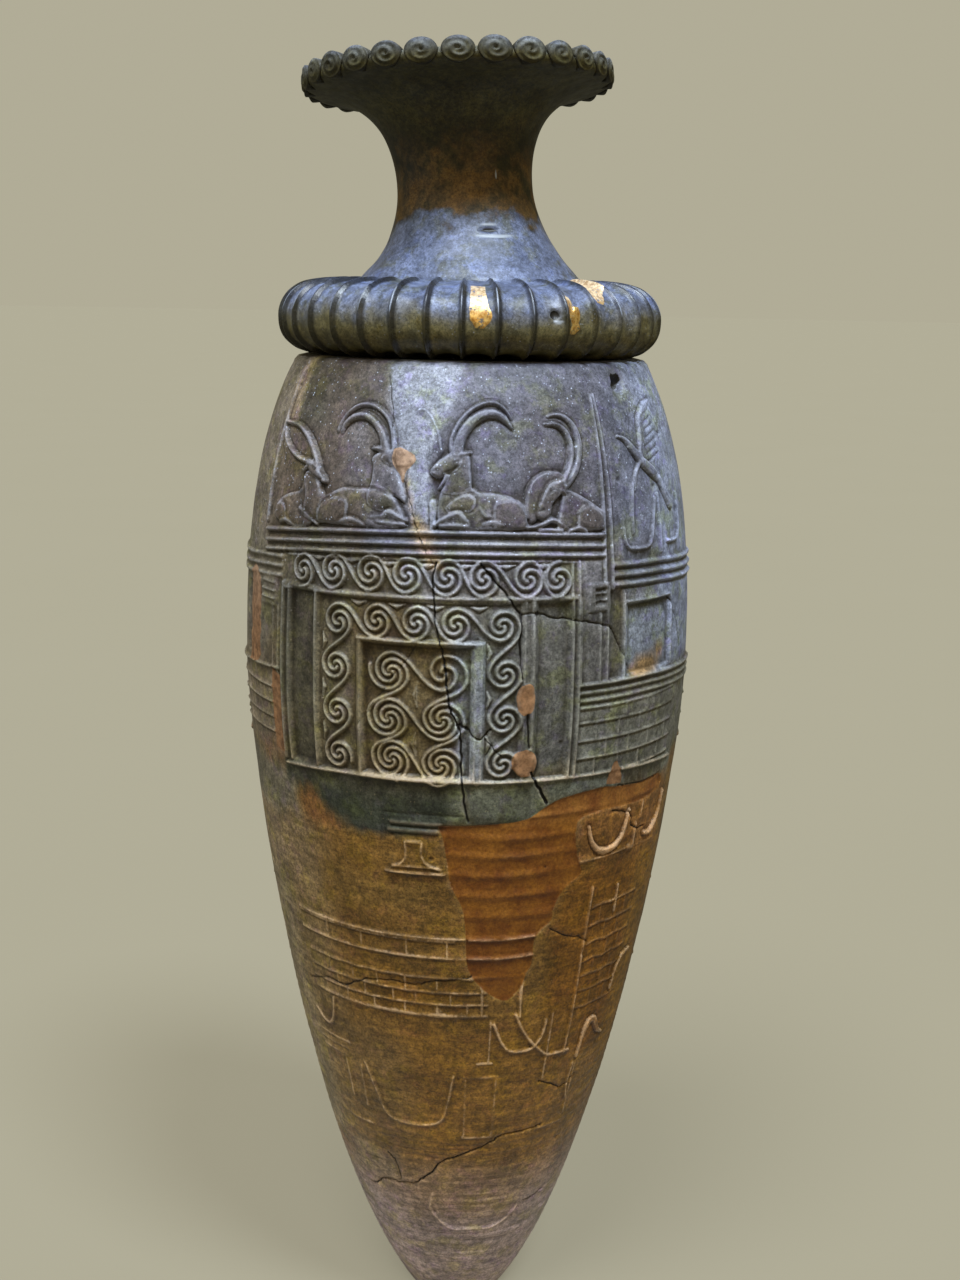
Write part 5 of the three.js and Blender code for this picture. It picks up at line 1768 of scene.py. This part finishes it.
def finish_stone(piece, material, looks, height, strength, depth):
    """Connects the shader's looks and the bumps of the grain, and gives the material to its piece."""
    bump = place_node("ShaderNodeBump", {"Height": height, "Strength": strength, "Distance": depth})
    feed(tree.nodes["Principled BSDF"], {**looks, "Normal": bump["Normal"]})
    piece.data.materials.clear()
    piece.data.materials.append(material)
    print(material.name, "has", len(tree.nodes), "nodes")


# %% Wire the body's stone
body_stone, tree, place = new_material("body_stone")
height = axes_of(place)["Z"]
high_up = ramped(height, 225 * MM, 275 * MM)
mottled = use_group(mottling, {
    "Colour": painted("stone_colour", "Color"), "Place": place, "Amount": 0.9,
    "Tinge": (1.04, 1.08, 0.72, 1), "Second Tinge": (0.96, 0.88, 1.16, 1)})
streaked = use_group(streaking, {"Colour": mottled["Colour"], "Place": place, "Top": 190 * MM, "Amount": 0.7})
# High up the pale specks turn bluish and denser: there they are painted glints; lower down they are the
# grain's own pale specks.
grained = use_group(grain, {
    "Colour": streaked["Colour"], "Place": place, "Dark Flecks": 0.7,
    "Pale Specks": plus(times(high_up, 0.45), 0.25),
    "Speck Colour": mixed(high_up, (0.3, 0.22, 0.11, 1), (0.55, 0.62, 0.8, 1))})
print("the body so far:", len(tree.nodes), "nodes")

# %% Wire the fill and the plaster
fill_colour = mixed(clouds(place, 9, 8, 0.7, 0.34, 0.66),
                    (0.125, 0.036, 0.004, 1), (0.225, 0.084, 0.009, 1))
fill_colour = tinted(fill_colour, (1.3, 1.45, 2.4, 1), ramped(height, 181 * MM, 188 * MM))
fill_grain = clouds(place, 0.9, 5, 0.75, 0.34, 0.66)
fill_colour = tinted(fill_colour, mixed(fill_grain, (0.72, 0.7, 0.68, 1), (1.24, 1.27, 1.35, 1)))
filled = mixed(ramped(painted("fill"), 0.35, 0.65), grained["Colour"], fill_colour)
plaster_mask = painted("plaster")
plaster_cloud = clouds(place, 2.4, 5, 0.7, 0.3, 0.7)
plaster_colour = tinted(mixed(high_up, (0.24, 0.125, 0.058, 1), (0.36, 0.245, 0.175, 1)),
                        mixed(plaster_cloud, (0.52, 0.47, 0.42, 1), (1.35, 1.33, 1.28, 1)))
plaster_edge = plus(plaster_mask, swing(place, 2.2, 5, 0.7, 0.9))
mended = mixed(ramped(plaster_edge, 0.42, 0.62), filled, plaster_colour)
print("the body so far:", len(tree.nodes), "nodes")

# %% Wire the body's wear, its painted highlights and shade, and its gloss
# The pale lines' tone is warm low down and bluish high up, where it also stands for a painted highlight of
# the cool lamps.
rubbed_and_highlit_tone = layered((0.72, 0.5, 0.32, 1),
                      (ramped(height, 185 * MM, 215 * MM), (0.31, 0.295, 0.24, 1)),
                      (high_up, (0.31, 0.325, 0.4, 1)))
# Crests and pale lines are painted paler, partly wear and partly a painted highlight; hollows are painted
# darker, partly dirt and partly painted shade.
worn = use_group(wear_and_painted_light, {
    "Colour": mended, "Place": place,
    "Crest": painted("crest"), "Hollow": painted("hollow"),
    "Rubbed And Highlit": painted("rubbed_and_highlit"), "Broken": painted("broken"),
    "Crest Colour": mixed(0.5, tinted(mended, (1.9, 1.95, 2, 1)), rubbed_and_highlit_tone),
    "Hollow Colour": tinted(mended, (0.26, 0.22, 0.16, 1)),
    "Crest Amount": 0.34, "Rubbed And Highlit Amount": 0.74, "Hollow Amount": 0.85})
stone_roughness = plus(times(clouds(place, 1.3, 5, 0.7, 0.3, 0.7), 0.26), 0.34)
roughness = maths("ADD", stone_roughness, times(plaster_mask, 0.4), clamp=True)
finish_stone(carved_body, body_stone,
             {"Base Color": worn["Colour"], "Roughness": roughness, "Specular IOR Level": 0.35},
             grained["Height"], 0.6, 0.2 * MM)

# %% [markdown]
# ## The neck's finish
#
# The neck was never buried so badly, and keeps its polish. Above its waist it is dark olive-brown with
# rusty clouds, with a ring of rust just above the waist, and is painted nearly black towards its left, a
# painted shade. Below the waist it is blue-grey, made bluer by a painted sheen, thick with dark specks, and
# the change between them is ragged. The collar's underside is painted olive, a painted shade beneath that
# sheen. Each flute has a painted shade strip beside its edges and a painted bluish highlight along their
# upper part; its crests are painted paler and its hollows darker, partly wear and dirt, partly painted
# highlight and shade. The tops of the rim's scrolls are painted pale, a painted highlight. A few scrapes
# show pale, and scraps of gold leaf still cling to three of the flutes.

# %% Wire the neck's stone
neck_stone, tree, place = new_material("neck_stone")
axes = axes_of(place)
ragged = swing(place, 9, 6, 0.6, 26 * MM)
waist_line = plus(axes["Z"], ragged)
under_line = plus(axes["Z"], times(ragged, 0.5))
upper = ramped(waist_line, 351.5 * MM, 357 * MM)
rust_ring = times(ramped(waist_line, 352 * MM, 357 * MM), ramped(waist_line, 384 * MM, 362 * MM))
# The olive is painted darker towards the neck's left side, a painted shade.
olive = layered(
    (0.023, 0.019, 0.004, 1),
    (clouds(place, 7, 5, 0.65, 0.5, 0.68), (0.052, 0.028, 0.005, 1)),
    (times(ramped(axes["X"], -9 * MM, -20 * MM), 0.75), (0.01, 0.008, 0.002, 1)),
    (ramped(axes["Z"], 374 * MM, 388 * MM), (0.052, 0.044, 0.013, 1)),
    (times(rust_ring, clouds(place, 8, 6, 0.6, 0.38, 0.66)), (0.165, 0.092, 0.028, 1)))
# The tops of the scrolls are painted pale bluish, a painted highlight; lower on the rim they are grey.
rolled = painted("rolled")
# Below the waist the blue-grey is made bluer and brighter as a painted sheen of the cool overhead lamp, and
# the collar's underside is painted olive, a painted shade beneath that sheen.
stone_tone = layered(
    (0.11, 0.132, 0.21, 1), (upper, olive),
    (times(ramped(under_line, 333 * MM, 323 * MM), 0.95), (0.112, 0.093, 0.033, 1)),
    (times(ramped(rolled, 0.1, 0.6), 0.9), (0.088, 0.09, 0.08, 1)),
    (times(ramped(rolled, 0.62, 0.95), 0.85), (0.235, 0.262, 0.32, 1)))
mottled = use_group(mottling, {
    "Colour": stone_tone, "Place": place, "Amount": 0.85,
    "Tinge": (0.8, 0.74, 0.5, 1), "Second Tinge": (0.94, 1, 1.2, 1)})
grained = use_group(grain, {
    "Colour": mottled["Colour"], "Place": place, "Dark Flecks": 0.85,
    "Pale Specks": times(minus(1, upper), 0.3), "Speck Colour": (0.4, 0.46, 0.6, 1)})
print("the neck so far:", len(tree.nodes), "nodes")

# %% Wire the neck's wear, its painted highlights and shade, its leaf and its gloss
flute_shade_strip = painted("flute_shade_strip")
# The flute shade strips are painted near black, a painted shade; crests are painted paler and hollows darker,
# partly wear and dirt, partly a painted highlight and painted shade.
worn = use_group(wear_and_painted_light, {
    "Colour": mixed(times(flute_shade_strip, 0.85), grained["Colour"], (0.008, 0.007, 0.004, 1)),
    "Place": place, "Crest": painted("crest"), "Hollow": painted("hollow"),
    "Broken": painted("open_dent"),
    "Crest Colour": tinted(grained["Colour"], (1.9, 1.95, 2.05, 1)),
    "Hollow Colour": tinted(grained["Colour"], (0.3, 0.27, 0.24, 1)),
    "Crest Amount": 0.5, "Rubbed And Highlit Amount": 0, "Hollow Amount": 0.7})
torn = clouds(place, 1.6, 5, 0.7, 0.36, 0.46)
leaf_share = times(ramped(painted("leaf"), 0.35, 0.65), torn)
leaf_top = ramped(under_line, 328.5 * MM, 333.5 * MM)
crumpled = clouds(place, 1.1, 4, 0.6, 0.35, 0.65)
leaf_colour = mixed(times(leaf_top, 0.8),
                    mixed(crumpled, (0.5, 0.24, 0.05, 1), (0.9, 0.6, 0.2, 1)),
                    mixed(crumpled, (0.48, 0.33, 0.2, 1), (0.86, 0.72, 0.54, 1)))
# The arris highlight is a painted highlight on the flute edges.
colour = layered(
    worn["Colour"],
    (times(ramped(painted("arris_highlight"), 0.55, 0.85), 0.6), (0.4, 0.45, 0.56, 1)),
    (times(painted("scraped"), 0.8), (0.42, 0.46, 0.52, 1)),
    (leaf_share, leaf_colour))
leaf_metal = times(leaf_share, minus(0.85, times(leaf_top, 0.5)))
roughness = plus(times(clouds(place, 5, 5, 0.65, 0.3, 0.7), 0.16), 0.32)
roughness = plus(roughness, times(upper, 0.22))
roughness = minus(roughness, times(flute_shade_strip, 0.14))
finish_stone(turned_neck, neck_stone,
             {"Base Color": colour, "Metallic": leaf_metal, "Roughness": roughness,
              "Specular IOR Level": 0.36},
             grained["Height"], 0.4, 0.1 * MM)

# %% [markdown]
# ## The floor
#
# A wide, plain, pale disc, a little uneven in tone so that it reads as a surface. Where the eye sees it, it
# glows a little, which keeps its tone even and its shadows faint. Where it throws light up at the vase it is
# warm and brighter near the foot, as a pale block under the vase would be.

# %% Lay the floor
FLOOR_RADIUS = 40
FLOOR_GLOW = (0.226, 0.213, 0.157, 1)
bpy.ops.mesh.primitive_circle_add(vertices=96, radius=FLOOR_RADIUS, fill_type="NGON", location=(0, 0, 0))
floor = bpy.context.active_object
floor.name = "pale_floor"
floor_paint, tree, place = new_material("pale_floor")
seen = seen_by_eye()
tone = mixed(noise(place, 250, 3, 0.5), (0.112, 0.098, 0.068, 1), (0.118, 0.103, 0.073, 1))
from_middle = place_node("ShaderNodeVectorMath", {0: place}, operation="LENGTH")["Value"]
thrown_up = mixed(ramped(from_middle, 0.07, 0.2), (0.3, 0.27, 0.22, 1), (0.1, 0.088, 0.06, 1))
feed(tree.nodes["Principled BSDF"], {
    "Base Color": mixed(seen, thrown_up, tone), "Roughness": 0.9, "Specular IOR Level": 0.1,
    "Emission Color": mixed(seen, (0, 0, 0, 1), FLOOR_GLOW), "Emission Strength": 1.0})
floor.data.materials.append(floor_paint)
print("the floor is", 2 * FLOOR_RADIUS, "m across")
